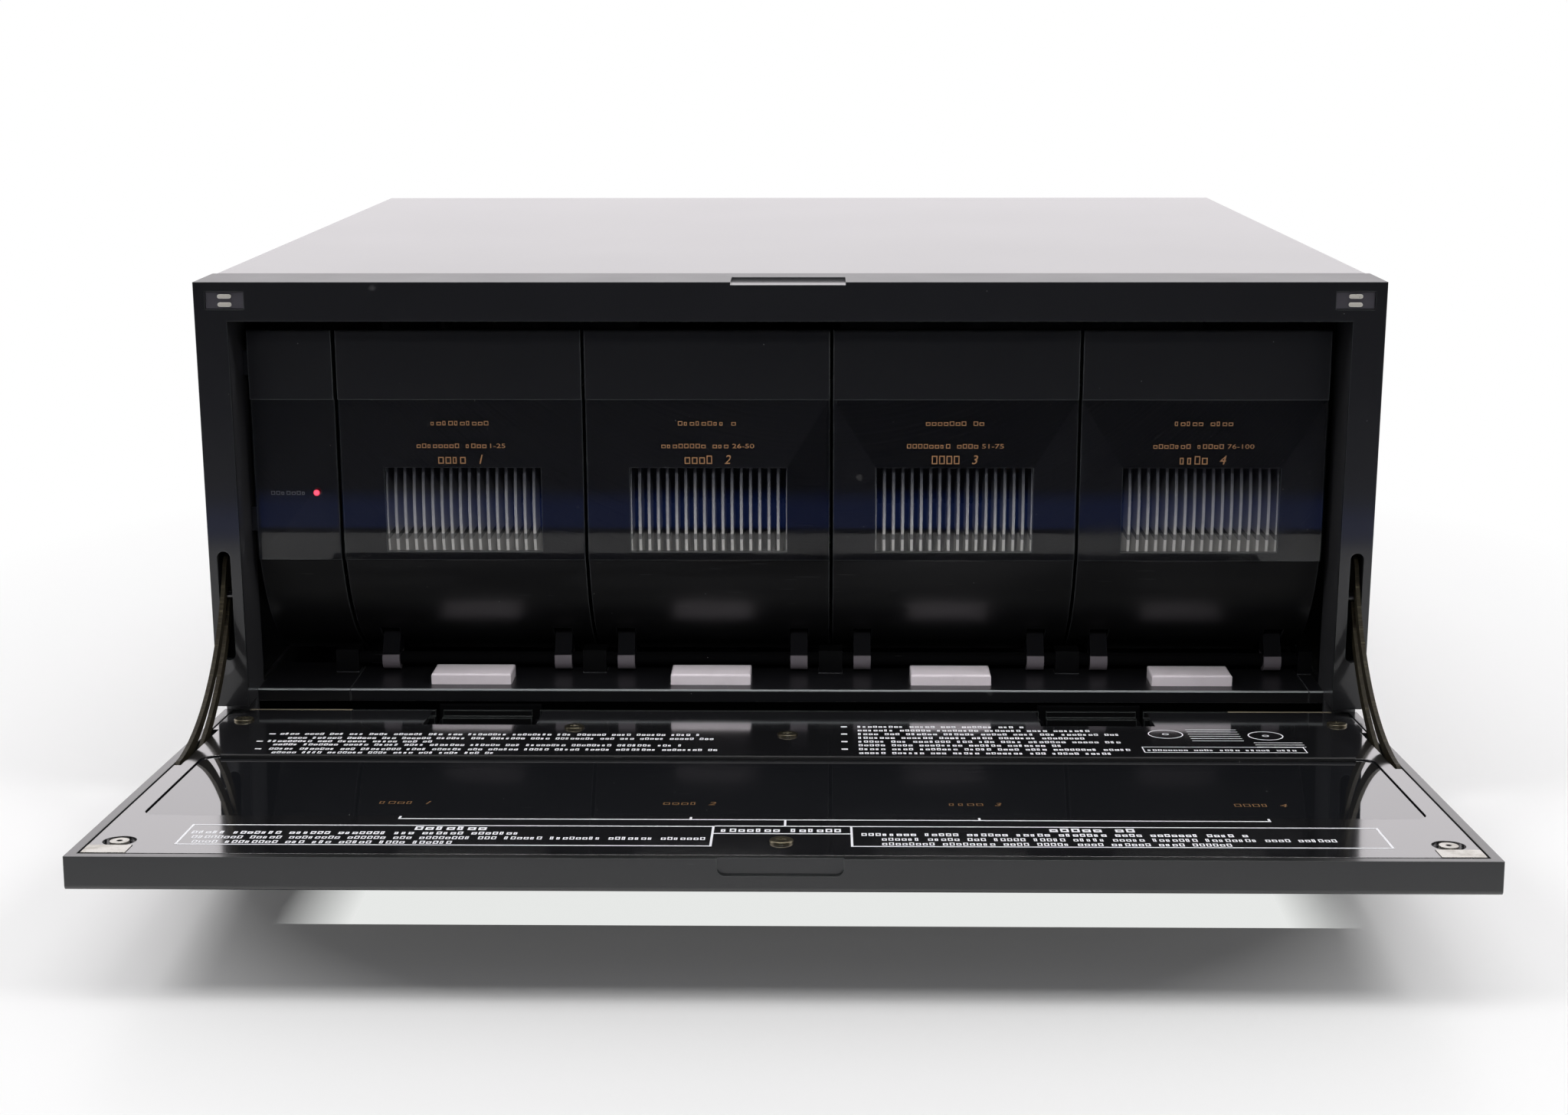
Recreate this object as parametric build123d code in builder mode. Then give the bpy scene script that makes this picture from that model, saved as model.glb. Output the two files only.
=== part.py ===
"""Hundred-disc changer: a low hi-fi cabinet with a drop-down front door and four tilting disc racks.

Frame: +X to the right of the front, +Y to the rear, +Z up, z = 0 under the feet.  The door is
stored open and the racks are stored pushed in.
"""
from build123d import *
from math import atan2, cos, degrees, radians, sin, sqrt
import os

os.makedirs("parts", exist_ok=True)

# ---- cabinet -----------------------------------------------------------------------------------
body_width = 420.0          # full-size hi-fi width; the door, window and racks follow it
body_height = 192.0         # table to top cover
foot_height = 10.0
sheet = 1.0                 # cover and rear panel steel
chassis_sheet = 1.2
bezel_depth = 28.0
bezel_face = 3.0            # moulded front plate
bezel_wall = 2.0
stile_width = 11.5
rail_drop = 13.9            # underside of the top rail, below the top of the cabinet
throat_depth = 16.0         # depth of the rail's wall over the front opening
throat_side = 24.0          # depth of the walls at its sides
joint_gap = 0.3             # hairline between fitted pieces
running_gap = 0.05          # radial play of a shaft in its bore
moving_gap = 0.3            # play beside a moving cap

# ---- door, measured along its inner face from the hinge side (s) and out of that face (v) -------
door_side_gap = 0.5         # door's side edge in from the cabinet's
door_tilt = 3.76            # the open door's free edge stands this much above level
door_face_height = 33.1     # where the inner face's plane meets the bezel face
door_heel = -8.0            # s of the edge at the hinges
door_tip = 178.2            # s of the free edge
door_thickness = 10.3
chin_thickness = 15.5       # thicker control panel on the outside, near the hinges
chin_end = 54.0
chin_ramp = 6.0
hinge_s = 10.0
hinge_v = -10.4
rim = 3.0                   # raised edge around the liner
tip_rim = 6.0               # wider solid at the free edge, around the finger pull
door_skin = 3.2
chin_skin = 2.5
liner_thickness = 2.2
liner_seam = 0.8            # open line between liner and rim
pane_recess = 0.5
pane_thickness = 2.0
pane_near = 134.0           # edge nearest the free edge
pane_far = 61.0
pane_side = 10.5            # from the door's side edge to the pane
pane_radius = 5.0
clear_near = 122.0          # see-through part of the pane
clear_far = 66.0
clear_side = 3.5            # dark border at the pane's sides
lens_margin = 4.0
lens_thickness = 2.0
bead = 0.9
pull_width = 37.0
pull_height = 5.2            # finger pull, down from the inner face
pull_depth = 1.2
pull_corner = 2.4

# ---- hinges and stays --------------------------------------------------------------------------
hinge_centre = 111.5        # from the middle of the door
hinge_half = 19.0
ear_thickness = 2.2
ear_radius = 3.6
hinge_pin_radius = 2.0
stay_inset = 4.5            # plane of each stay, in from the cabinet's side
stay_thickness = 1.5
stay_half = 6.25            # half the strip's width
stay_pivot_s = 68.9
stay_pivot_v = -3.4
stay_pivot_radius = 1.5
stay_eye = 3.9
stay_floor = -7.9           # v of the strip's straight lower edge
stay_room = -8.4            # v of the hollow under it
stay_swing = 19.16          # how far a stay drops its angle as the door closes
guide_back = 5.0            # guide pin behind the bezel face
guide_height = 77.6
guide_radius = 1.75
guide_play = 0.65
stile_slot_width = 4.8
stile_slot_low = 53.6
stile_slot_high = 94.5

# ---- racks -------------------------------------------------------------------------------------
rack_count = 4
rack_gap = 1.3              # between two racks
rack_right_gap = 3.4        # right rack to the opening's side
standby_width = 30.5        # fixed panel at the left
standby_left_gap = 2.5
standby_rack_gap = 1.5
rack_face = 16.0            # front panel, behind the bezel face
panel_top = 173.0
panel_seam = 147.5          # satin part above, smoked window below
panel_drop = 16.7           # its lower edge, below the disc centres
panel_thickness = 4.0
window_thickness = 1.8
slot_count = 25
fin_thickness = 1.0
fin_play = 0.2              # outer fins to the cheeks
grille_side = 15.65         # rack's side to the opening that shows the fins
grille_drop = 13.5          # below the disc centres
grille_rise = 18.0
disc_radius = 60.0
disc_play = 1.0
disc_back = 82.0            # disc centre behind the bezel face
fin_depth = 14.0
comb_shell = 2.0
skirt_thickness = 2.2
cheek_thickness = 1.2
pivot_back = 41.0
pivot_rise = 4.7            # above the ledge
pivot_radius = 2.5
lug_inset = 11.4            # centre of a lug, in from the rack's side
lug_width = 6.5
lug_radius = 4.3
post_width = 9.0
post_half_depth = 4.2

# ---- ledge and eject buttons -------------------------------------------------------------------
ledge_top = 38.5
ledge_thickness = 2.0
ledge_front = 14.0
ledge_back = 50.0
ledge_lip = 4.5
button_width = 30.0
button_depth = 13.5
button_front = 21.0
button_height = 4.0
button_stem = 8.0
button_flange = 1.5
tab_heights = (98.0, 156.0)
tab_height = 9.0
led_inset = 7.7             # from the standby panel's right side
led_height = 113.0
led_radius = 1.3

# ---- carriage ----------------------------------------------------------------------------------
play_back = 212.0           # disc centre when it is played, behind the bezel face
rod_radius = 4.0
rod_height = 22.0
rod_ahead = 34.0            # front rod before the played disc's centre
rod_behind = 88.0
rear_bay = 77.0             # rear rod to rear panel: room for the boards and transformer

# ---- rear sockets ------------------------------------------------------------------------------
jack_reach = 9.0            # phono sleeves stand out this far

# ---- derived places ----------------------------------------------------------------------------
body_depth = play_back + rod_behind + rear_bay + sheet    # bezel face to rear panel, 378
door_reach = door_tip * cos(radians(door_tilt)) + door_thickness * sin(radians(door_tilt))
front_y = (door_reach - body_depth - jack_reach) / 2     # bezel face; the box is centred on Y
rod_front = play_back - rod_ahead
rod_rear = play_back + rod_behind
half_width = body_width / 2
opening_half = half_width - stile_width
door_width = body_width - 2 * door_side_gap
door_half = door_width / 2
pane_half = door_half - pane_side
clear_half = pane_half - clear_side
stay_x = half_width - stay_inset
rail_low = body_height - rail_drop
deck = foot_height + chassis_sheet                       # top of the chassis floor
rear_inner = body_depth - sheet
cover_inner = half_width - sheet
chassis_half = cover_inner - sheet
standby_left = -opening_half + standby_left_gap
standby_right = standby_left + standby_width
racks_left = standby_right + standby_rack_gap
racks_right = opening_half - rack_right_gap
rack_pitch = (racks_right - racks_left + rack_gap) / rack_count
rack_width = rack_pitch - rack_gap
rack_centres = [racks_left + rack_width / 2 + rack_pitch * i for i in range(rack_count)]
slot_pitch = (rack_width - 2 * (cheek_thickness + fin_play) - fin_thickness) / slot_count
grille_width = rack_width - 2 * grille_side
lug_offset = rack_width / 2 - lug_inset
led_x = standby_right - led_inset
disc_y = front_y + disc_back
skirt_inner = disc_radius + disc_play + comb_shell + joint_gap
skirt_outer = skirt_inner + skirt_thickness
disc_height = ledge_top + skirt_outer                    # the skirt just clears the ledge
panel_bottom = disc_height - panel_drop
grille_low = disc_height - grille_drop
grille_high = disc_height + grille_rise
pivot_height = ledge_top + pivot_rise
door_closed = 90.0 - door_tilt
door_face = Plane(
    origin=(0, front_y, door_face_height),
    x_dir=(1, 0, 0),
    z_dir=(0, sin(radians(door_tilt)), cos(radians(door_tilt))),
)


def door_point(s, v):
    """World (y, z) of a point at s along the door and v out of its inner face."""
    tilt = radians(door_tilt)
    return (
        front_y - s * cos(tilt) + v * sin(tilt),
        door_face_height + s * sin(tilt) + v * cos(tilt),
    )


def door_box(x0, x1, s0, s1, v0, v1, radius=0.0):
    """Block on the door between X, s and v limits, with rounded corners in plan if asked."""
    with BuildPart() as block:
        with BuildSketch(door_face.offset(v0)):
            with Locations(((x0 + x1) / 2, -(s0 + s1) / 2)):
                if radius > 0:
                    RectangleRounded(x1 - x0, s1 - s0, radius)
                else:
                    Rectangle(x1 - x0, s1 - s0)
        extrude(amount=v1 - v0)
    return block.part


def box(x0, x1, y0, y1, z0, z1):
    """Block between X, Y (behind the bezel face) and Z limits."""
    with BuildPart() as block:
        with Locations(((x0 + x1) / 2, front_y + (y0 + y1) / 2, (z0 + z1) / 2)):
            Box(x1 - x0, y1 - y0, z1 - z0)
    return block.part


def rod(x0, x1, y, z, radius):
    """Round bar along X at y (world) and z."""
    with BuildPart() as bar:
        with BuildSketch(Plane.YZ.offset(x0)):
            with Locations((y, z)):
                Circle(radius)
        extrude(amount=x1 - x0)
    return bar.part


def both_sides(piece):
    """The piece and its mirror image in the middle plane, as one group."""
    return Compound(children=[piece, mirror(piece, about=Plane.YZ)])


def save(piece, label):
    piece.label = label
    export_step(piece, f"parts/{label}.step")


# ================================================================================================
# Cabinet
# ================================================================================================

# Chassis floor with low flanges and a front wall behind the door's heel.
chassis_front = ledge_front + 1.2
chassis_wall_top = ledge_top - ledge_lip - joint_gap
flange_height = 20.0
with BuildPart() as bottom_chassis:
    add(box(-opening_half, opening_half, chassis_front, rear_inner, foot_height, deck))
    add(box(-chassis_half, chassis_half, bezel_depth + joint_gap, rear_inner, foot_height, deck))
    add(box(-opening_half, opening_half, chassis_front, chassis_front + chassis_sheet,
            foot_height, chassis_wall_top))
    for side in (-1, 1):
        edges_x = sorted((side * chassis_half, side * (chassis_half - chassis_sheet)))
        add(box(*edges_x, bezel_depth + joint_gap, rear_inner, foot_height,
                foot_height + flange_height))
    add(box(-chassis_half, chassis_half, rear_inner - chassis_sheet, rear_inner,
            foot_height, foot_height + flange_height))
save(bottom_chassis.part, "bottom_chassis")

# Folded steel cover: top and two sides with rounded bends.
bend_radius = 2.0
with BuildPart() as top_cover:
    with BuildSketch(Plane.XZ.offset(-front_y - bezel_depth - joint_gap)):
        with BuildLine():
            FilletPolyline(
                (-half_width, foot_height),
                (-half_width, body_height),
                (half_width, body_height),
                (half_width, foot_height),
                radius=bend_radius,
            )
            FilletPolyline(
                (-cover_inner, foot_height),
                (-cover_inner, body_height - sheet),
                (cover_inner, body_height - sheet),
                (cover_inner, foot_height),
                radius=bend_radius - sheet,
            )
            Line((-half_width, foot_height), (-cover_inner, foot_height))
            Line((half_width, foot_height), (cover_inner, foot_height))
        make_face()
    extrude(amount=-(body_depth - bezel_depth - joint_gap))
save(top_cover.part, "top_cover")

# Rear panel, holed for the phono sockets, the optical socket and the mains inlet.
jack_x = half_width - 60.0
jack_spacing = 16.0
jack_height = 60.0
jack_hole = 5.2
inlet_x = 50.0 - half_width
inlet_height = 45.0
inlet_width = 22.0
inlet_tall = 14.0
optical_x = jack_x - 40.0
optical_size = 10.0
vent_count = 14
vent_pitch = 7.0
vent_size = (2.6, 34.0)
vent_x = -30.0
vent_height = 120.0
with BuildPart() as rear_panel:
    with BuildSketch(Plane.XZ.offset(-front_y - rear_inner)):
        with Locations((0, (foot_height + body_height - sheet) / 2)):
            plate = Rectangle(2 * cover_inner, body_height - sheet - foot_height)
        fillet(plate.vertices().group_by(Axis.Y)[-1], bend_radius - sheet + 0.2)
        with Locations((jack_x, jack_height), (jack_x, jack_height + jack_spacing)):
            Circle(jack_hole, mode=Mode.SUBTRACT)
        with Locations((inlet_x, inlet_height)):
            Rectangle(inlet_width, inlet_tall, mode=Mode.SUBTRACT)
        with Locations((optical_x, jack_height)):
            Rectangle(optical_size, optical_size, mode=Mode.SUBTRACT)
        with Locations((vent_x, vent_height)):
            with GridLocations(vent_pitch, 0, vent_count, 1):
                SlotOverall(vent_size[1], vent_size[0], rotation=90, mode=Mode.SUBTRACT)
    extrude(amount=-sheet)
save(rear_panel.part, "rear_panel")

# Moulded bezel: front plate, outer walls, top, and the throat around the opening.
heel_room = 12.0            # clear depth behind the bezel face for the door's heel
heel_room_top = ledge_top - 2.5
notch_half = 20.3
notch_depth = 16.0
notch_drop = 1.0
catch_x = half_width - 10.9
catch_size = (13.8, 6.4)
catch_height = body_height - 6.5
with BuildPart() as front_bezel:
    add(box(-half_width, half_width, 0, bezel_face, heel_room_top, body_height))
    add(box(-half_width, half_width, 0, bezel_depth, body_height - bezel_wall, body_height))
    add(box(-opening_half, opening_half, 0, throat_depth, rail_low, rail_low + bezel_wall))
    for side in (-1, 1):
        outer = sorted((side * half_width, side * (half_width - bezel_wall)))
        inner = sorted((side * opening_half, side * (opening_half + bezel_wall)))
        across = sorted((side * half_width, side * opening_half))
        add(box(*outer, 0, bezel_depth, heel_room_top, body_height))
        add(box(*outer, heel_room, bezel_depth, foot_height, heel_room_top))
        add(box(*inner, 0, throat_side, heel_room_top, rail_low + bezel_wall))
        add(box(*inner, heel_room, throat_side, foot_height, heel_room_top))
        add(box(*across, heel_room, heel_room + bezel_wall, foot_height, heel_room_top))
        add(box(*across, 0, throat_depth, heel_room_top, heel_room_top + bezel_wall))
    add(box(-opening_half, opening_half, -1, bezel_face + 1, heel_room_top - 1, rail_low),
        mode=Mode.SUBTRACT)
    add(box(-notch_half, notch_half, -1, notch_depth, body_height - notch_drop, body_height + 1),
        mode=Mode.SUBTRACT)
    with BuildSketch(Plane.XZ.offset(-front_y + 1)):
        with Locations((-catch_x, catch_height), (catch_x, catch_height)):
            Rectangle(*catch_size)
        for side in (-1, 1):
            with Locations((side * (stay_x - 0.8), (stile_slot_low + stile_slot_high) / 2)):
                SlotOverall(stile_slot_high - stile_slot_low, stile_slot_width, rotation=90)
    extrude(amount=-(bezel_face + 1.5), mode=Mode.SUBTRACT)
save(front_bezel.part, "front_bezel")

# Catch housings behind the bezel, each with a boss that fills its window.
catch_recess = 0.8
catch_back = bezel_face + 3.0
boss_half = (catch_size[0] / 2 - 0.1, catch_size[1] / 2 - 0.1)
with BuildPart() as catch_plate:
    add(box(catch_x - boss_half[0], catch_x + boss_half[0], catch_recess, bezel_face,
            catch_height - boss_half[1], catch_height + boss_half[1]))
    add(box(catch_x - boss_half[0], half_width - bezel_wall, bezel_face, catch_back,
            catch_height - boss_half[1], catch_height + boss_half[1]))
save(both_sides(catch_plate.part), "catch_plates")

# Two round-ended steel poles stand out of each catch, one above the other.
pole_size = (4.8, 1.5)
pole_reach = 0.7
pole_spacing = 2.9
poles = []
for side in (-1, 1):
    for row in (-1, 1):
        with BuildPart() as pole:
            with BuildSketch(Plane.XZ.offset(-front_y - catch_recess)):
                with Locations((side * catch_x, catch_height + row * pole_spacing / 2)):
                    SlotOverall(*pole_size)
            extrude(amount=pole_reach)
        poles.append(pole.part)
save(Compound(children=poles), "catch_poles")

# Ledge below the racks: a tray with a front lip, button holes and the pivot posts.
button_rear = button_front + button_depth
ledge_under = ledge_top - ledge_thickness
end_split_left = racks_left
end_split_right = opening_half - 5.3
post_centres = [rack_centres[0] + rack_pitch * (i - 0.5) for i in range(rack_count + 1)]
hole_play = moving_gap
with BuildPart() as eject_ledge:
    add(box(end_split_left + joint_gap, end_split_right - joint_gap, ledge_front, ledge_back,
            ledge_under, ledge_top))
    add(box(end_split_left + joint_gap, end_split_right - joint_gap, ledge_front,
            ledge_front + chassis_sheet, ledge_top - ledge_lip, ledge_top))
    with BuildSketch(Plane.XY.offset(ledge_under)):
        for x in rack_centres:
            with Locations((x, front_y + (button_front + button_rear) / 2)):
                RectangleRounded(button_width + 2 * hole_play, button_depth + 2 * hole_play, 1.0)
    extrude(amount=ledge_thickness, mode=Mode.SUBTRACT)
    for x in post_centres[1:-1]:
        add(box(x - post_width / 2, x + post_width / 2, pivot_back - post_half_depth,
                pivot_back + post_half_depth, ledge_top, pivot_height + post_half_depth))
    add(rod(-half_width, half_width, front_y + pivot_back, pivot_height,
            pivot_radius + running_gap), mode=Mode.SUBTRACT)
save(eject_ledge.part, "eject_ledge")

# End pieces of the ledge, each carrying one end of the pivot shaft.
shaft_end = opening_half - joint_gap
with BuildPart() as ledge_left:
    add(box(-opening_half, end_split_left, ledge_front, ledge_back, ledge_under, ledge_top))
    add(box(-opening_half, end_split_left, ledge_front, ledge_front + chassis_sheet,
            ledge_top - ledge_lip, ledge_top))
    add(box(post_centres[0] - post_width, post_centres[0] - joint_gap, pivot_back - post_half_depth,
            pivot_back + post_half_depth, ledge_top, pivot_height + post_half_depth))
    add(rod(-half_width, half_width, front_y + pivot_back, pivot_height,
            pivot_radius + running_gap), mode=Mode.SUBTRACT)
with BuildPart() as ledge_right:
    add(box(end_split_right, opening_half, ledge_front, ledge_back, ledge_under, ledge_top))
    add(box(end_split_right, opening_half, ledge_front, ledge_front + chassis_sheet,
            ledge_top - ledge_lip, ledge_top))
    add(box(end_split_right, opening_half, pivot_back - post_half_depth,
            pivot_back + post_half_depth, ledge_top, pivot_height + post_half_depth))
    add(rod(-half_width, half_width, front_y + pivot_back, pivot_height,
            pivot_radius + running_gap), mode=Mode.SUBTRACT)
save(Compound(children=[ledge_left.part, ledge_right.part]), "ledge_ends")

# Pivot shaft of the four racks.
save(rod(post_centres[0] - post_width, shaft_end, front_y + pivot_back, pivot_height,
         pivot_radius), "rack_shaft")


# ================================================================================================
# Rack fronts and the matching fixed panel at the left
# ================================================================================================

skirt_start = 186.0         # degrees round the disc centre, from +Y towards +Z
skirt_sweep = 96.0


def ring_sector(radius_in, radius_out, start, sweep):
    """Ring sector about the disc centre, in the Y-Z plane."""
    with BuildSketch() as sector:
        with BuildLine():
            inner = CenterArc((disc_y, disc_height), radius_in, start, sweep)
            outer = CenterArc((disc_y, disc_height), radius_out, start, sweep)
            Line(inner @ 0, outer @ 0)
            Line(inner @ 1, outer @ 1)
        make_face()
    return sector.sketch


def front_shell(x0, x1, grille):
    """Upright panel with a seat for the window and a skirt that follows the discs."""
    centre = (x0 + x1) / 2
    back = rack_face + panel_thickness
    seat = rack_face + window_thickness
    with BuildPart() as shell:
        add(box(x0, x1, rack_face, back, panel_seam, panel_top))
        add(box(x0, x1, seat, back, panel_bottom, panel_seam))
        with BuildSketch(Plane.YZ.offset(x0)):
            add(ring_sector(skirt_inner, skirt_outer, skirt_start, skirt_sweep))
        extrude(amount=x1 - x0)
        add(box(x0 - 1, x1 + 1, 0, seat, foot_height, panel_seam), mode=Mode.SUBTRACT)
        if grille:
            add(box(centre - grille_width / 2, centre + grille_width / 2, 0, back + 1,
                    grille_low, grille_high), mode=Mode.SUBTRACT)
        fillet(shell.edges().filter_by(Axis.X).group_by(Axis.Z)[-1], 0.8)
    return shell


def smoked_window(x0, x1):
    with BuildPart() as window:
        add(box(x0, x1, rack_face, rack_face + window_thickness, panel_bottom,
                panel_seam - joint_gap))
        chamfer(window.edges().filter_by(Axis.X).group_by(Axis.Y)[0], 0.4)
    return window


with BuildPart() as standby_panel:
    add(front_shell(standby_left, standby_right, False).part)
    for z in tab_heights:
        add(box(-opening_half, standby_left + 6, rack_face + panel_thickness - 1,
                rack_face + panel_thickness + 2, z, z + tab_height))
    with BuildSketch(Plane.XZ.offset(-front_y)):
        with Locations((led_x, led_height)):
            Circle(led_radius + running_gap)
    extrude(amount=-(rack_face + panel_thickness + 8), mode=Mode.SUBTRACT)
save(standby_panel.part, "standby_panel")
with BuildPart() as standby_window:
    add(smoked_window(standby_left, standby_right).part)
    with BuildSketch(Plane.XZ.offset(-front_y)):
        with Locations((led_x, led_height)):
            Circle(led_radius + running_gap)
    extrude(amount=-(rack_face + panel_thickness), mode=Mode.SUBTRACT)
save(standby_window.part, "standby_window")
with BuildPart() as standby_lens:
    with BuildSketch(Plane.XZ.offset(-front_y - rack_face + 0.3)):
        with Locations((led_x, led_height)):
            Circle(led_radius)
    extrude(amount=-(panel_thickness + 3.3))
    fillet(standby_lens.faces().sort_by(Axis.Y)[0].edges(), 0.25)
save(standby_lens.part, "standby_lens")

# ---- one rack: light comb with fins and lugs, black front with cheeks, smoked window ------------
fin_outer = disc_radius + disc_play
shell_outer = fin_outer + comb_shell
fin_start = 162.0
fin_end = 340.0
shell_start = 200.0
comb_half = rack_width / 2 - cheek_thickness - joint_gap
fin_offsets = [slot_pitch * (i - slot_count / 2) for i in range(slot_count + 1)]
cheek_back = 60.0
cheek_top = 152.0
cheek_slope = 45.0
cheek_low = disc_height - 30.0
window_back = rack_face + window_thickness
bar_back = disc_back + fin_outer * cos(radians(fin_start)) - 0.5
bar_low = disc_height + fin_outer * sin(radians(fin_start)) - 1.0
bar_depth = 6.5
bar_height = 4.5
rack_pivot = (front_y + pivot_back, pivot_height)
lug_rise = (disc_back - pivot_back, disc_height - pivot_height)
lug_angle = degrees(atan2(lug_rise[1], lug_rise[0]))
lug_reach = sqrt(lug_rise[0] ** 2 + lug_rise[1] ** 2) - fin_outer - 0.5
lug_slot_top = pivot_height + 12.8
with BuildPart() as comb:
    # curved floor under the discs
    with BuildSketch(Plane.YZ.offset(-comb_half)):
        add(ring_sector(fin_outer, shell_outer, shell_start, fin_end - shell_start))
    extrude(amount=2 * comb_half)
    # fins that part the discs, and the outer walls
    for offset_x in fin_offsets:
        with BuildSketch(Plane.YZ.offset(offset_x - fin_thickness / 2)):
            add(ring_sector(fin_outer - fin_depth, fin_outer + 0.5, fin_start, fin_end - fin_start))
        extrude(amount=fin_thickness)
    # bar across the fins' front ends
    add(box(-comb_half, comb_half, bar_back, bar_back + bar_depth, bar_low, bar_low + bar_height))
    # two lugs down to the pivot shaft
    for side in (-1, 1):
        with BuildSketch(Plane.YZ.offset(side * lug_offset - lug_width / 2)):
            with Locations(rack_pivot):
                Circle(lug_radius)
            with Locations(Location((*rack_pivot, 0), (0, 0, lug_angle))):
                Rectangle(lug_reach, 2 * lug_radius, align=(Align.MIN, Align.CENTER))
            with Locations(rack_pivot):
                Circle(pivot_radius + running_gap, mode=Mode.SUBTRACT)
        extrude(amount=lug_width)

with BuildPart() as rack_front:
    add(front_shell(-rack_width / 2, rack_width / 2, True).part)
    # cheeks at both sides
    for x in (-rack_width / 2, rack_width / 2 - cheek_thickness):
        with BuildSketch(Plane.YZ.offset(x)):
            with Locations((disc_y, disc_height)):
                Circle(skirt_outer)
            with BuildLine():
                Polyline(
                    (front_y + window_back, panel_bottom),
                    (front_y + window_back, cheek_top),
                    (front_y + cheek_back, cheek_top),
                    (front_y + cheek_back, panel_bottom),
                    close=True,
                )
            make_face()
            with BuildLine():
                Polyline(
                    (front_y, body_height),
                    (front_y, cheek_top),
                    (front_y + cheek_slope, cheek_top),
                    (disc_y + disc_radius, cheek_low),
                    (disc_y + 2 * disc_radius, cheek_low),
                    (disc_y + 2 * disc_radius, body_height),
                    close=True,
                )
            make_face(mode=Mode.SUBTRACT)
        extrude(amount=cheek_thickness)
    # slots for the lugs, and the window's seat
    for side in (-1, 1):
        lug_x = side * lug_offset
        add(box(lug_x - lug_width / 2 - joint_gap, lug_x + lug_width / 2 + joint_gap,
                window_back, disc_back, foot_height, lug_slot_top), mode=Mode.SUBTRACT)
    add(box(-rack_width, rack_width, 0, window_back, foot_height, panel_seam), mode=Mode.SUBTRACT)

rack_window = smoked_window(-rack_width / 2, rack_width / 2)

# Sprung eject button: cap, flange under the ledge and stem.
button_y = front_y + (button_front + button_rear) / 2
flange_top = ledge_under - moving_gap
with BuildPart() as eject_button:
    with BuildSketch(Plane.XY.offset(flange_top)):
        with Locations((0, button_y)):
            Rectangle(button_width, button_depth)
    extrude(amount=ledge_top + button_height - flange_top)
    fillet(eject_button.edges().group_by(Axis.Z)[-1], 0.8)
    with BuildSketch(Plane.XY.offset(flange_top - button_flange)):
        with Locations((0, button_y)):
            Rectangle(button_width + 4.0, button_depth + 3.0)
    extrude(amount=button_flange)
    with BuildSketch(Plane.XY.offset(flange_top - button_flange)):
        with Locations((0, button_y)):
            Rectangle(button_stem, button_stem)
    extrude(amount=-button_stem)

for number, centre in enumerate(rack_centres, start=1):
    place = Location((centre, 0, 0))
    save(comb.part.moved(place), f"rack_{number}_comb")
    save(rack_front.part.moved(place), f"rack_{number}_front")
    save(rack_window.part.moved(place), f"rack_{number}_window")
    save(eject_button.part.moved(place), f"eject_button_{number}")

# ================================================================================================
# Door, built open
# ================================================================================================

inner_half = door_half - rim
liner_half = inner_half - liner_seam
heel_inner = door_heel + rim / 2
tip_inner = door_tip - rim
pane_under = -pane_recess - pane_thickness
relief_half = ear_thickness / 2 + 0.3
ear_centres = (hinge_centre - hinge_half + ear_thickness / 2,
               hinge_centre + hinge_half - ear_thickness / 2)
hinge_point = door_point(hinge_s, hinge_v)
stay_point = door_point(stay_pivot_s, stay_pivot_v)
key_count = 4
key_first = door_half - 71.5
key_pitch = 15.0
key_size = (11.0, 6.0)
key_s = 36.0
key_proud = 1.2
key_flange = 1.0
power_x = 27.5 - door_half
power_size = (20.0, 8.0)
display_half = 62.0
display_s = (24.0, 48.0)
board_v = -7.4
board_thickness = 1.6
board_half = door_half - 13.5
board_posts = (50.0 - board_half, -80.0, 80.0, board_half - 6.0)
post_size = 5.0
board_s = (22.0, 52.0)
board_gap = board_v - board_thickness
key_places = [(f"key_{i + 1}", key_first + key_pitch * i, key_size) for i in range(key_count)]
key_places.append(("power_button", power_x, power_size))
lens_box = (-pane_half, pane_half, clear_far - lens_margin, clear_near + lens_margin)

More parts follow.
